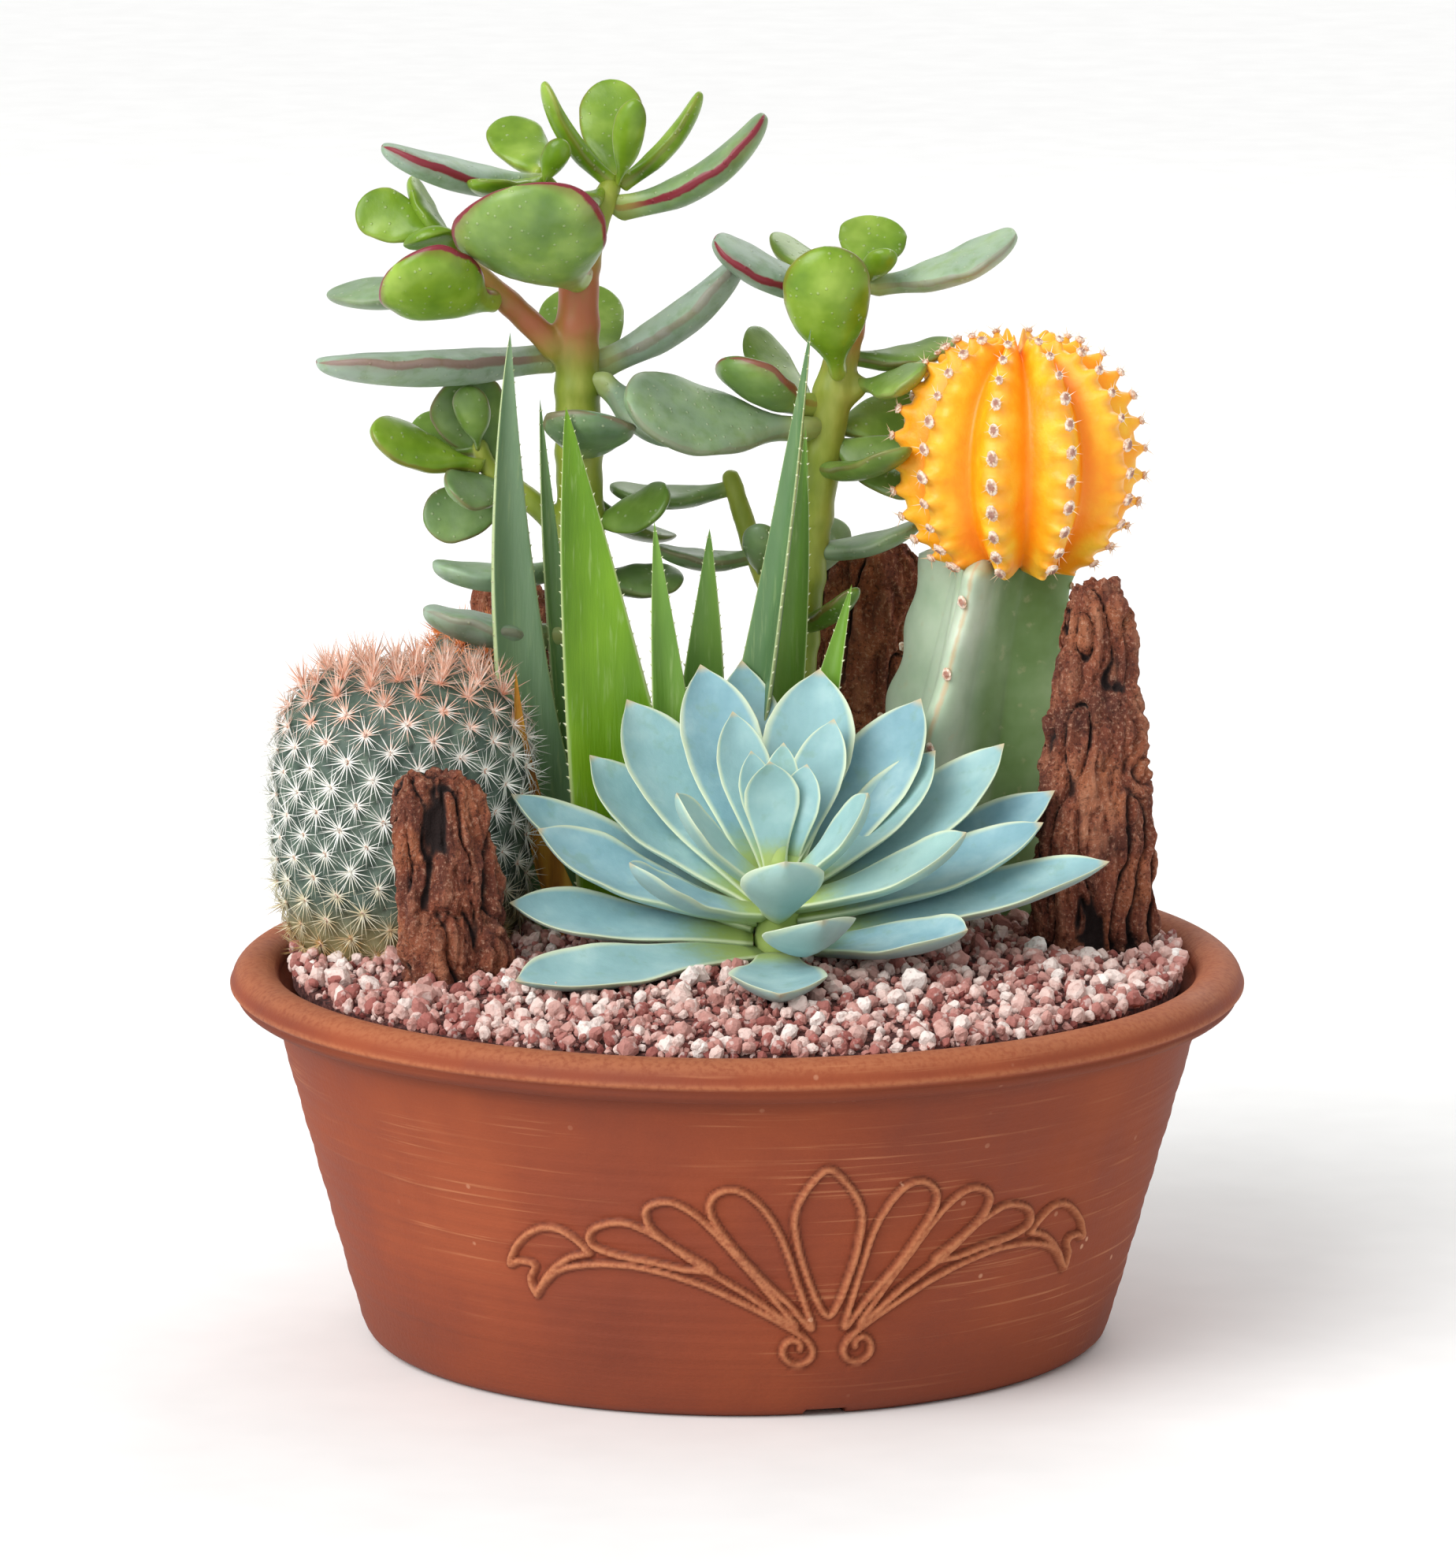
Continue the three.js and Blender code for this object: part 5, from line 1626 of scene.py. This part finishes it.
class PLANTED_OT_bowl(bpy.types.Operator):
    """Makes the terracotta bowl with its rolled rim, foot notches and palmette relief"""

    bl_idname = "planted.bowl"
    bl_label = "Bowl"

    def execute(self, context):
        settings = context.scene.bowl_settings
        profile = bowl_profile()
        turns = list(np.arange(-math.pi, math.pi - 1e-6, math.radians(2)))
        offset = settings.relief_offset / MM
        centre = math.asin(offset / (FOOT_RADIUS + WALL_SLOPE * 38))
        turns = [t for t in turns if abs(t - centre) > math.radians(46)]
        turns += list(centre + np.arange(-math.radians(46), math.radians(46), math.radians(0.31)))
        notches = [(NOTCH_TURN + k * 2 * math.pi / 3 + math.pi) % (2 * math.pi) - math.pi for k in range(3)]
        for notch in notches:
            if abs(notch - centre) > 1:
                turns = [t for t in turns if abs(t - notch) > math.radians(4)]
                half = (1.5, 2.8, 3.15, 3.45, 3.9)
                turns += [notch + math.radians(d) for d in (*(-d for d in reversed(half)), 0, *half)]
        turns = np.array(sorted(turns))
        rows, columns = len(profile), len(turns)
        radius = np.repeat(profile[:, :1], columns, axis=1)
        height = np.repeat(profile[:, 1:], columns, axis=1)
        angle = np.repeat(turns[None], rows, axis=0)
        outside = (np.arange(rows) > 11) & (profile[:, 1] < RIM_BOTTOM) & (np.arange(rows) < rows - 12)
        # two fields for the clay's colour: painted highlight on the beads and the rim, painted shade in the
        # grooves and under the rim
        proud, hollow = np.zeros_like(radius), np.zeros_like(radius)
        # the relief lies on the wall between 9 and 60 mm up
        band = outside & (profile[:, 1] > 9) & (profile[:, 1] < 60)
        near = np.abs(turns - centre) < math.radians(47)
        cells = np.ix_(band, near)
        # its middle line stands upright, so it turns a little less where the wall is wider
        middle = np.arcsin(offset / radius[cells])
        spots = np.stack([(angle[cells] - middle) * radius[cells], height[cells]], axis=2).reshape(-1, 2)
        raised, over, beside = palmette_height(spots, settings.bead_width / MM, settings.bead_height / MM)
        radius[cells] += raised.reshape(radius[cells].shape)
        # the beads take painted highlight, the grooves beside them painted shade
        proud[cells], hollow[cells] = over.reshape(radius[cells].shape), beside.reshape(radius[cells].shape)
        # throwing marks: rings left by the potter's fingers, and a very slight unevenness round the wall
        rings = 0.1 * np.sin(height * 0.55 + 0.6 * np.sin(angle * 2)) + 0.06 * np.sin(height * 1.9 + angle)
        wander = 0.12 * np.sin(3 * angle + height * 0.03) + 0.08 * np.sin(7 * angle - height * 0.05)
        radius += (rings * (height > 4) + wander) * outside[:, None]
        on_rim = (height >= RIM_BOTTOM) & (radius > MOUTH_RADIUS + 0.5)
        radius += 0.22 * np.sin(2 * angle + 0.7) * on_rim
        # painted highlight on the rim's top and along its thin ridge; painted shade on the rim's lower edge
        # and on the wall just under the rim
        proud += 0.55 * on_rim * smooth((height - 79.5) / 2.5)
        proud += 0.6 * on_rim * np.exp(-((profile[:, 1:] - 77.9) ** 2) / 0.4)
        hollow += 0.75 * on_rim * smooth((77.2 - height) / 1.2)
        hollow += 0.8 * (outside[:, None] * smooth((height - 69.5) / 3.5))
        # the drainage notches across the foot ring
        for notch in notches:
            gap = np.abs((angle - notch + math.pi) % (2 * math.pi) - math.pi)
            cut = (gap < NOTCH_HALF_ANGLE) & (height < NOTCH_HEIGHT) & (radius > FOOT_RING_INNER - 1)
            height = np.where(cut, NOTCH_HEIGHT, height)
        points = np.stack([radius * np.sin(angle), -radius * np.cos(angle), height], axis=2).reshape(
            -1, 3,
        ) * MM
        faces = grid_faces(rows, columns)
        last = (rows - 1) * columns
        faces += [(last + i, last + (i + 1) % columns, (i + 1) % columns, i) for i in range(columns)]
        reach = np.concatenate([[0], np.cumsum(np.linalg.norm(np.diff(profile, axis=0), axis=1))])
        uv = np.stack(
            [angle / (2 * math.pi) + 0.5, np.repeat(reach[:, None] / reach[-1], columns, axis=1)],
            axis=2,
        )
        fields = {"proud": np.clip(proud, 0, 1).ravel(), "hollow": np.clip(hollow, 0, 1).ravel()}
        bowl = mesh_object("terracotta_bowl", points, faces, fields, uv.reshape(-1, 2))
        settle(bowl, finish_of("terracotta"), "terracotta", "pot")
        return {"FINISHED"}


# ---- Gravel -------------------------------------------------------------------------------------
class PLANTED_OT_gravel(bpy.types.Operator):
    """Lays the gravel top dressing on its bed, and gives bed and potting mix their materials"""

    bl_idname = "planted.gravel"
    bl_label = "Gravel"

    def execute(self, context):
        settings = context.scene.gravel_settings
        # the bed between the stones takes the dark grit of painted shade, the potting mix its own colour
        for node, key in (("gravel_top_dressing", "grit_bed"), ("potting_mix", "potting_mix")):
            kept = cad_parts[node]
            kept.data.materials.clear()
            kept.data.materials.append(finish_of(key))
        source = bmesh.new()
        source.from_mesh(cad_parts["gravel_top_dressing"].data)
        source.faces.ensure_lookup_table()
        hidden = [f for f in source.faces if f.normal.z < 0.5 or f.calc_center_median().z < 0.079]
        bmesh.ops.delete(source, geom=hidden, context="FACES")
        planted = bmesh.new()
        for node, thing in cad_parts.items():
            if node not in ("pot", "potting_mix", "gravel_top_dressing"):
                planted.from_mesh(thing.data)
        mesh = bpy.data.meshes.new("planted_things")
        planted.to_mesh(mesh)
        planted.free()
        clear = bpy.data.objects.new("planted_things", mesh)
        context.scene.collection.objects.link(clear)
        # [name, most stones a square metre, least gap in mm, size, rise in mm, paleness, detail]
        layouts = (
            ("gravel_grit", 260000, 1.35, settings.grit_size, 0.3, -0.08, 1),
            ("gravel_small_stones", 90000, 2.7, settings.grit_size * 1.35, 0.9, 0.1, 2),
            ("gravel_pebbles", 22000, 5.4, settings.pebble_size * 1.12, 1.4, 0.2, 2),
            ("gravel_white_stones", 2600, 15.0, settings.pebble_size * 1.65, 1.9, 0.42, 2),
            ("gravel_edge_stones", 90000, 2.6, settings.grit_size * 1.45, 2.3, 0.1, 2),
        )
        for number, (name, density, gap, size, rise, pale, detail) in enumerate(layouts):
            mesh = bpy.data.meshes.new(name)
            patch = source.copy()
            if name == "gravel_edge_stones":
                inner = [f for f in patch.faces if f.calc_center_median().xy.length < 0.092]
                bmesh.ops.delete(patch, geom=inner, context="FACES")
            patch.to_mesh(mesh)
            patch.free()
            bed = bpy.data.objects.new(name, mesh)
            context.scene.collection.objects.link(bed)
            stones = grown(
                bed, group_of("stones"),
                {
                    "Density": float(density), "Gap": gap * MM, "Size": size, "Rise": rise * MM,
                    "Pale": pale, "Detail": detail, "Clear": clear, "Seed": settings.seed + number,
                    "Material": finish_of("gravel"),
                },
            )
            settle(stones, None, "gravel")
        source.free()
        drop(clear)
        return {"FINISHED"}


# ---- Bark ---------------------------------------------------------------------------------------
class PLANTED_OT_bark(bpy.types.Operator):
    """Makes the four pieces of weathered bark"""

    bl_idname = "planted.bark"
    bl_label = "Bark"

    def execute(self, context):
        for seed, node in enumerate(("bark_front", "bark_right", "bark_back_right", "bark_back_left")):
            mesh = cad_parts[node].data.copy()
            mesh.materials.clear()
            rough = bpy.data.objects.new(node + "_slab", mesh)
            context.scene.collection.objects.link(rough)
            work = bmesh.new()
            work.from_mesh(mesh)
            bmesh.ops.remove_doubles(work, verts=work.verts, dist=2e-6)
            work.to_mesh(mesh)
            work.free()
            slab = remeshed(rough, 0.62 * MM, 4)
            points = points_of(slab.data)
            normals = np.zeros(len(points) * 3)
            slab.data.vertices.foreach_get("normal", normals)
            normals = normals.reshape(-1, 3)
            # plates run up the slab: waves are short round it and long along it
            drawn = points * np.array([1, 1, 0.12])
            warp = noise_at(points, 45, seed, 2)[:, None] * 0.005
            furrows = np.clip(1 - np.abs(noise_at(drawn + warp, 125, seed + 3, 2)) * 4.0, 0, 1) ** 1.6
            splits = np.clip(1 - np.abs(noise_at(drawn + warp, 290, seed + 4, 2)) * 2.6, 0, 1) ** 2
            cracks = np.clip(furrows + 0.45 * splits, 0, 1)
            fibres = noise_at(drawn, 560, seed + 5, 2)
            steps = noise_at(points * np.array([1, 1, 0.5]), 60, seed + 7, 3)
            crumbs = noise_at(points, 480, seed + 9, 2)
            out = (1.9 * steps - 2.2 * furrows - 1.1 * splits + 0.7 * fibres + 0.45 * crumbs) * MM
            low = points[:, 2].min()
            out *= smooth((points[:, 2] - low) / (2 * MM))
            # how high or deep each point lies in the relief: the mask for the painted highlight on the ridges
            # and painted shade in the cracks
            depth = np.clip(0.62 - 0.62 * cracks + 0.22 * steps + 0.16 * fibres, 0, 1)
            moved = points + normals * out[:, None]
            slab.data.vertices.foreach_set("co", moved.ravel())
            layer = slab.data.attributes.new("depth", "FLOAT", "POINT")
            layer.data.foreach_set("value", depth.astype(np.float32))
            slab.data.update()
            settle(slab, finish_of("bark"), "bark", node)
        return {"FINISHED"}


# ---- Cacti --------------------------------------------------------------------------------------
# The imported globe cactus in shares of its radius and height
GLOBE_HALF = [0.5, 0.66, 0.86, 0.97, 1, 0.98, 0.9, 0.74, 0.5, 0.24, 0]
GLOBE_RISE = [0, 0.1, 0.24, 0.42, 0.58, 0.74, 0.87, 0.95, 0.99, 0.985, 0.975]
GLOBES = {
    "globe_cactus": {
        "at": (-73, 14, 68.3), "height": 75, "radius": 28, "gap": 1.0, "knob": 1.5,
        "stops": [
            (0.0, "C9A46A"), (0.16, "DAD3B4"), (0.4, "F2F4EC"), (0.86, "EFEDE6"), (0.95, "F0D0C0"),
            (1.0, "EAB49A"),
        ],
    },
    "globe_cactus_small": {
        "at": (-57, 55, 68.3), "height": 77, "radius": 14, "gap": 0.78, "knob": 1.0,
        "stops": [(0.0, "C9A46A"), (0.5, "E9C795"), (0.8, "F0A868"), (1.0, "E58A4A")],
    },
}


def globe_line(radius, height):
    """The side of a globe cactus as [radius, height] points 0.5 mm apart, foot to crown."""
    half, rise = np.array(GLOBE_HALF) * radius, np.array(GLOBE_RISE) * height
    along = np.concatenate([[0], np.cumsum(np.hypot(np.diff(half), np.diff(rise)))])
    at = np.arange(0, along[-1], 0.5)
    return np.stack([curve_through(along, half)(at), curve_through(along, rise)(at)], axis=1)


def normals_of_line(line):
    ahead = np.gradient(line, axis=0)
    ahead /= np.linalg.norm(ahead, axis=1)[:, None]
    return np.stack([ahead[:, 1], -ahead[:, 0]], axis=1)


class PLANTED_OT_globes(bpy.types.Operator):
    """Makes both globe cacti: knobbed bodies with a star of spines on every knob"""

    bl_idname = "planted.globes"
    bl_label = "Globe cacti"

    def execute(self, context):
        settings = context.scene.cactus_settings
        for seed, (node, spec) in enumerate(GLOBES.items()):
            line = globe_line(spec["radius"], spec["height"])
            ways = normals_of_line(line)
            gap = settings.tubercle_gap / MM * spec["gap"]
            # knobs stand at equal areas up the plant, each turned by the golden angle from the last
            area = np.concatenate([[0], np.cumsum(2 * math.pi * line[1:, 0] * 0.5)])
            count = int(area[-1] / (gap * gap * 0.87))
            place = np.interp((np.arange(count) + 0.5) / count * area[-1], area, np.arange(len(line)))
            turn = np.arange(count) * math.pi * (3 - math.sqrt(5))
            r = np.interp(place, np.arange(len(line)), line[:, 0])
            z = np.interp(place, np.arange(len(line)), line[:, 1])
            n = np.stack([np.interp(place, np.arange(len(line)), ways[:, k]) for k in (0, 1)], axis=1)
            way = np.stack([n[:, 0] * np.cos(turn), n[:, 0] * np.sin(turn), n[:, 1]], axis=1)
            foot = np.stack([r * np.cos(turn), r * np.sin(turn), z], axis=1)
            rows = line[::2][:-1]
            row_ways = ways[::2][:-1]
            around = 160 if seed == 0 else 96
            angle = np.linspace(0, 2 * math.pi, around, endpoint=False)
            points, knobs = [], []
            for (radius, height), (nr, nz) in zip(rows, row_ways):
                p = np.stack(
                    [radius * np.cos(angle), radius * np.sin(angle), np.full(around, height)], axis=1,
                )
                d = np.sqrt(((p[:, None] - foot[None]) ** 2).sum(axis=2)).min(axis=1) / (gap * 0.62)
                knob = np.clip(1 - d**2, 0, 1) ** 0.7
                out = np.stack([nr * np.cos(angle), nr * np.sin(angle), np.full(around, nz)], axis=1)
                points.append(p + out * ((knob - 0.55) * spec["knob"])[:, None])
                knobs.append(knob)
            crown = np.array([[0, 0, line[-1, 1]]])
            base = np.array([[0, 0, 0.0]])
            at = np.array(spec["at"])
            points = (np.vstack(points + [crown, base]) + at) * MM
            faces = tube_faces(len(rows), around)
            # the knob measure also masks the painted shade between the knobs
            knob = np.concatenate([*knobs, [0.4, 0]])
            body = mesh_object(node + "_body", points, faces, {"knob": knob})
            settle(body, finish_of("cactus_skin"), "cactus_body", node)
            low = (at[2] + 6) * MM
            high = (at[2] + spec["height"] + 4) * MM
            key = node + "_spines"
            made_materials[key] = spine_material(key, spec["stops"], low, high)
            tips = (foot + way * (0.45 * spec["knob"]) + at) * MM
            draw = np.random.default_rng(seed + 3)
            size = draw.uniform(0.88, 1.12, count) * spec["gap"]
            # spines only where the body stands clear of the gravel, and young ones upright round the crown
            clear, young = z > 10, z > 0.93 * spec["height"]
            upright = way[young] * 0.5 + np.array([0, 0, 0.9])
            layers = {
                "radial": (clear, way[clear], 1, settings.radial_spines, 1, 0.19, 66, 84, seed),
                "central": (clear, way[clear], 1, 4, 0.85, 0.2, 12, 42, seed + 5),
                "crown": (young, upright, 1.25, 15, 1.05, 0.2, 4, 46, seed + 9),
            }
            for layer, (some, outward, larger, number, length, thick, lean, leant, start) in layers.items():
                spines = grown(
                    spots_object(f"{node}_{layer}_spines", tips[some], outward, size[some] * larger),
                    group_of("spines"),
                    {
                        "Count": number, "Length": settings.spine_length * length, "Thickness": thick * MM,
                        "Lean Low": math.radians(lean), "Lean High": math.radians(leant),
                        "Seed": start, "Material": made_materials[key],
                    },
                )
                settle(spines, None, "cactus_body")
            wool = grown(
                spots_object(node + "_areoles", tips, way, np.full(count, 1.0)), group_of("pads"),
                {"Width": 1.3 * MM, "Seed": seed, "Material": finish_of("areole")},
            )
            settle(wool, None, "cactus_body")
        return {"FINISHED"}


STOCK_LOW, STOCK_HIGH = np.array([38, 30, 68.3]), np.array([56, 33, 167.0])
STOCK_FRONT = math.radians(252)


def stock_radius(angle, s):
    """Reach of the three-winged stock at an angle and a share of its height."""
    c = math.cos(3 * (angle - STOCK_FRONT))
    front = math.cos(angle - STOCK_FRONT) > 0.5
    reach = 10 + (10.5 if front else 15) * max(0, c) ** 2.2 - 1.5 * max(0, -c)
    return reach * (1 - 0.26 * s**3 + 0.03 * math.sin(s * 14))


def ball_radius(wide, a):
    """The grafted ball's radius over its ribs at an angle down from the top; the underside draws in."""
    narrow = 1 - 0.18 * ((math.degrees(a) - 90) / 90) ** 2 if a > math.pi / 2 else 1
    return wide * math.sin(a) ** 0.8 * narrow


class PLANTED_OT_graft(bpy.types.Operator):
    """Makes the grafted cactus: the three-winged stock and the orange ball on it"""

    bl_idname = "planted.graft"
    bl_label = "Grafted moon cactus"

    def execute(self, context):
        self.make_stock()
        self.make_ball(context.scene.cactus_settings)
        return {"FINISHED"}

    def make_stock(self):
        levels, around = 90, 150
        angle = np.linspace(0, 2 * math.pi, around, endpoint=False)
        wing = np.clip(np.cos(3 * (angle - STOCK_FRONT)), 0, 1)
        facing_light = np.cos(angle - STOCK_FRONT + math.radians(60))
        points, crest, face = [], [], []
        for k in range(levels):
            s = k / (levels - 1)
            c = STOCK_LOW + (STOCK_HIGH - STOCK_LOW) * s
            # wings wave a little and their crests are scalloped between areoles about 16 mm apart
            scallop = 1 + 0.045 * np.cos(s * 98.7 / 16 * 2 * math.pi) * wing**3
            reach = np.array([stock_radius(a, s) for a in angle]) * scallop
            reach += 0.3 * np.sin(5 * angle + 9 * s)
            bend = 0.05 * np.sin(7 * s + 1) * wing
            close = 1 - 0.35 * smooth((s - 0.965) / 0.035)
            flat = [np.cos(angle + bend) * reach * close, np.sin(angle + bend) * reach * close, 0 * angle]
            points.append(np.stack(flat, axis=1) + c)
            crest.append(wing**6)
            # face picks the painted lit colour on the side towards the light and the painted shaded colour
            # away from it
            face.append(smooth(0.5 - facing_light * 0.9))
        points.append(np.array([STOCK_HIGH, STOCK_LOW]))
        points = np.vstack(points) * MM
        fields = {"wing": np.concatenate([*crest, [0, 0]]), "face": np.concatenate([*face, [0.5, 0.5]])}
        stock = mesh_object("graft_stock_column", points, tube_faces(levels, around), fields)
        settle(stock, finish_of("stock"), "graft_stock_skin", "graft_stock")
        # an areole in each scallop of the three crests
        spots, ways = [], []
        for turn in range(3):
            a = STOCK_FRONT + turn * 2 * math.pi / 3
            for s in (0.24, 0.4, 0.565, 0.73, 0.89):
                out = np.array([math.cos(a), math.sin(a), 0.1])
                middle = STOCK_LOW + (STOCK_HIGH - STOCK_LOW) * s
                spots.append((middle + out * (stock_radius(a, s) - 0.4)) * MM)
                ways.append(out)
        pads = grown(
            spots_object("graft_stock_areoles", spots, ways, np.ones(len(spots))), group_of("pads"),
            {"Width": 2.0 * MM, "Seed": 3, "Material": finish_of("areole")},
        )
        settle(pads, None, "graft_stock_skin")

    def make_ball(self, settings):
        centre = np.array([61.5, 33, 186.5])
        wide, tall, ribs, first = 26.6, 27.6, settings.ribs, math.radians(-103.5)
        levels, around = 120, ribs * 24
        angle = np.linspace(0, 2 * math.pi, around, endpoint=False)
        rib = 0.5 + 0.5 * np.cos(ribs * (angle - first))
        sharp = rib**0.85
        number = np.round(ribs * (angle - first) / (2 * math.pi)).astype(int) % ribs
        draw = random.Random(12)
        drift = np.array([draw.uniform(0, 1) for _ in range(ribs)])
        lean = np.array([draw.uniform(-0.05, 0.05) for _ in range(ribs)])
        points, rib_light_and_shade, pads = [], [], []
        downs = np.radians(np.linspace(152, 7, levels))
        knob_gap = math.radians(12.4)
        for a in downs:
            phase = np.cos(2 * math.pi * (a / knob_gap + drift[number]))
            knob = np.clip(phase, -0.4, 1) * sharp**5
            r = ball_radius(wide, a) * (0.79 + 0.21 * sharp)
            r = r + knob * 1.5 * min(1, math.sin(a) * 1.6)
            bend = lean[number] * math.sin(2 * a) * sharp
            z = tall * math.cos(a) * (0.88 + 0.12 * sharp) + knob * 1.3 * max(0, math.cos(a)) * sharp
            points.append(np.stack([r * np.cos(angle + bend), r * np.sin(angle + bend), z], axis=1) + centre)
            # the rib's sharpness also masks the painted shade in the furrows and painted highlight on the
            # crests
            rib_light_and_shade.append(sharp)
            pads.append(np.clip(phase, 0, 1) ** 4 * np.clip(sharp**14, 0, 1))
        # the dimple on top and the underside's middle
        points.append(centre + np.array([[0, 0, tall * 0.86], [0, 0, tall * math.cos(downs[0]) + 0.5]]))
        points = np.vstack(points) * MM
        fields = {"rib": np.concatenate([*rib_light_and_shade, [0, 0]]), "pad": np.concatenate([*pads, [0, 0]])}
        ball = mesh_object("moon_cactus_ball", points, tube_faces(levels, around), fields)
        settle(ball, finish_of("moon"), "moon_cactus_skin", "moon_cactus")
        # an areole on every knob
        spots, ways = [], []
        for k in range(ribs):
            turn = first + k * 2 * math.pi / ribs
            for step in range(30):
                a = (step - drift[k]) * knob_gap
                if not math.radians(16) < a < math.radians(146):
                    continue
                r = ball_radius(wide, a) + 1.5 * min(1, math.sin(a) * 1.6)
                t = turn + lean[k] * math.sin(2 * a)
                z = tall * math.cos(a) + 1.3 * max(0, math.cos(a))
                spots.append((centre + [r * math.cos(t), r * math.sin(t), z]) * MM)
                ways.append([math.sin(a) * math.cos(t), math.sin(a) * math.sin(t), math.cos(a)])
        wool = grown(
            spots_object("moon_cactus_areoles", spots, ways, np.ones(len(spots))), group_of("pads"),
            {"Width": 2.5 * MM, "Seed": 1, "Material": finish_of("areole")},
        )
        settle(wool, None, "moon_cactus_skin")
        pale = [(0, "E8C7A0"), (1, "F6E6CC")]
        made_materials["moon_spines"] = spine_material("moon_spines", pale, 0.16, 0.22)
        spines = grown(
            spots_object("moon_cactus_spines", spots, ways, np.ones(len(spots))), group_of("spines"),
            {"Count": 6, "Length": 3.0 * MM, "Thickness": 0.16 * MM, "Lean Low": math.radians(35),
             "Lean High": math.radians(75), "Seed": 2, "Material": made_materials["moon_spines"]},
        )
        settle(spines, None, "moon_cactus_skin")


# ---- Stage --------------------------------------------------------------------------------------
class PLANTED_OT_stage(bpy.types.Operator):
    """Lays the floor and sets the lights, the sky and the camera"""

    bl_idname = "planted.stage"
    bl_label = "Studio"

    def execute(self, context):
        scene = context.scene
        size = 9.0
        floor = mesh_object(
            "studio_floor", [[-size, -size, 0], [size, -size, 0], [size, size, 0], [-size, size, 0]],
            [(0, 1, 2, 3)], shade_smooth=False,
        )
        floor.data.materials.append(finish_of("floor"))
        world = bpy.data.worlds.new("studio_light")
        world.use_nodes = True
        sky = world.node_tree.nodes["Background"]
        sky.inputs["Color"].default_value = linear("FFFFFF")
        sky.inputs["Strength"].default_value = 0.66
        scene.world = world
        # a very wide soft light from the upper left, and a soft box each side for the shine on the leaves
        sun = bpy.data.lights.new("key_light", "SUN")
        sun.energy = 2.2
        sun.angle = math.radians(50)
        lamps = [("key_light", (-0.75, -0.75, 0.95), sun)]
        for name, place, energy, width in (
            ("left_softbox", (-1.2, -1.1, 0.9), 6, 0.9),
            ("back_softbox", (0.5, 1.3, 1.1), 6, 0.9),
        ):
            light = bpy.data.lights.new(name, "AREA")
            light.energy = energy
            light.size = width
            lamps.append((name, place, light))
        for name, place, light in lamps:
            lamp = bpy.data.objects.new(name, light)
            lamp.location = place
            lamp.rotation_euler = (Vector((0, 0, 0.12)) - Vector(place)).to_track_quat("-Z", "Y").to_euler()
            scene.collection.objects.link(lamp)
        camera = bpy.data.cameras.new("front_camera")
        camera.lens = 210.94
        camera.sensor_width = 36
        view = bpy.data.objects.new("front_camera", camera)
        view.location = (-0.00197, -1.9563, 0.4938)
        view.rotation_euler = (math.radians(90 - 10.796), 0, 0)
        scene.collection.objects.link(view)
        scene.camera = view
        scene.view_settings.view_transform = "Standard"
        return {"FINISHED"}


# ---- Add-on -------------------------------------------------------------------------------------
STEPS = (
    PLANTED_OT_bowl,
    PLANTED_OT_gravel,
    PLANTED_OT_bark,
    PLANTED_OT_globes,
    PLANTED_OT_graft,
    PLANTED_OT_aloe,
    PLANTED_OT_jade,
    PLANTED_OT_echeveria,
    PLANTED_OT_stage,
)


class PLANTED_PT_panel(bpy.types.Panel):
    """Steps and settings of the planted bowl"""

    bl_idname = "PLANTED_PT_panel"
    bl_label = "Planted bowl"
    bl_space_type = "VIEW_3D"
    bl_region_type = "UI"
    bl_category = "Planted bowl"

    def draw(self, context):
        layout = self.layout
        for key in SETTINGS:
            settings = getattr(context.scene, key)
            box = layout.box()
            for name in settings.bl_rna.properties.keys():
                if name not in ("rna_type", "name"):
                    box.prop(settings, name)
        for step in STEPS:
            layout.operator(step.bl_idname)


SETTINGS = {
    "bowl_settings": BowlSettings,
    "gravel_settings": GravelSettings,
    "leaf_settings": LeafSettings,
    "cactus_settings": CactusSettings,
}


def register():
    for key, group in SETTINGS.items():
        bpy.utils.register_class(group)
        setattr(bpy.types.Scene, key, bpy.props.PointerProperty(type=group))
    for step in STEPS:
        bpy.utils.register_class(step)
    bpy.utils.register_class(PLANTED_PT_panel)


def unregister():
    bpy.utils.unregister_class(PLANTED_PT_panel)
    for step in reversed(STEPS):
        bpy.utils.unregister_class(step)
    for key, group in SETTINGS.items():
        delattr(bpy.types.Scene, key)
        bpy.utils.unregister_class(group)


def main():
    register()
    for step in STEPS:
        family, name = step.bl_idname.split(".")
        getattr(getattr(bpy.ops, family), name)()


if __name__ == "__main__":
    main()
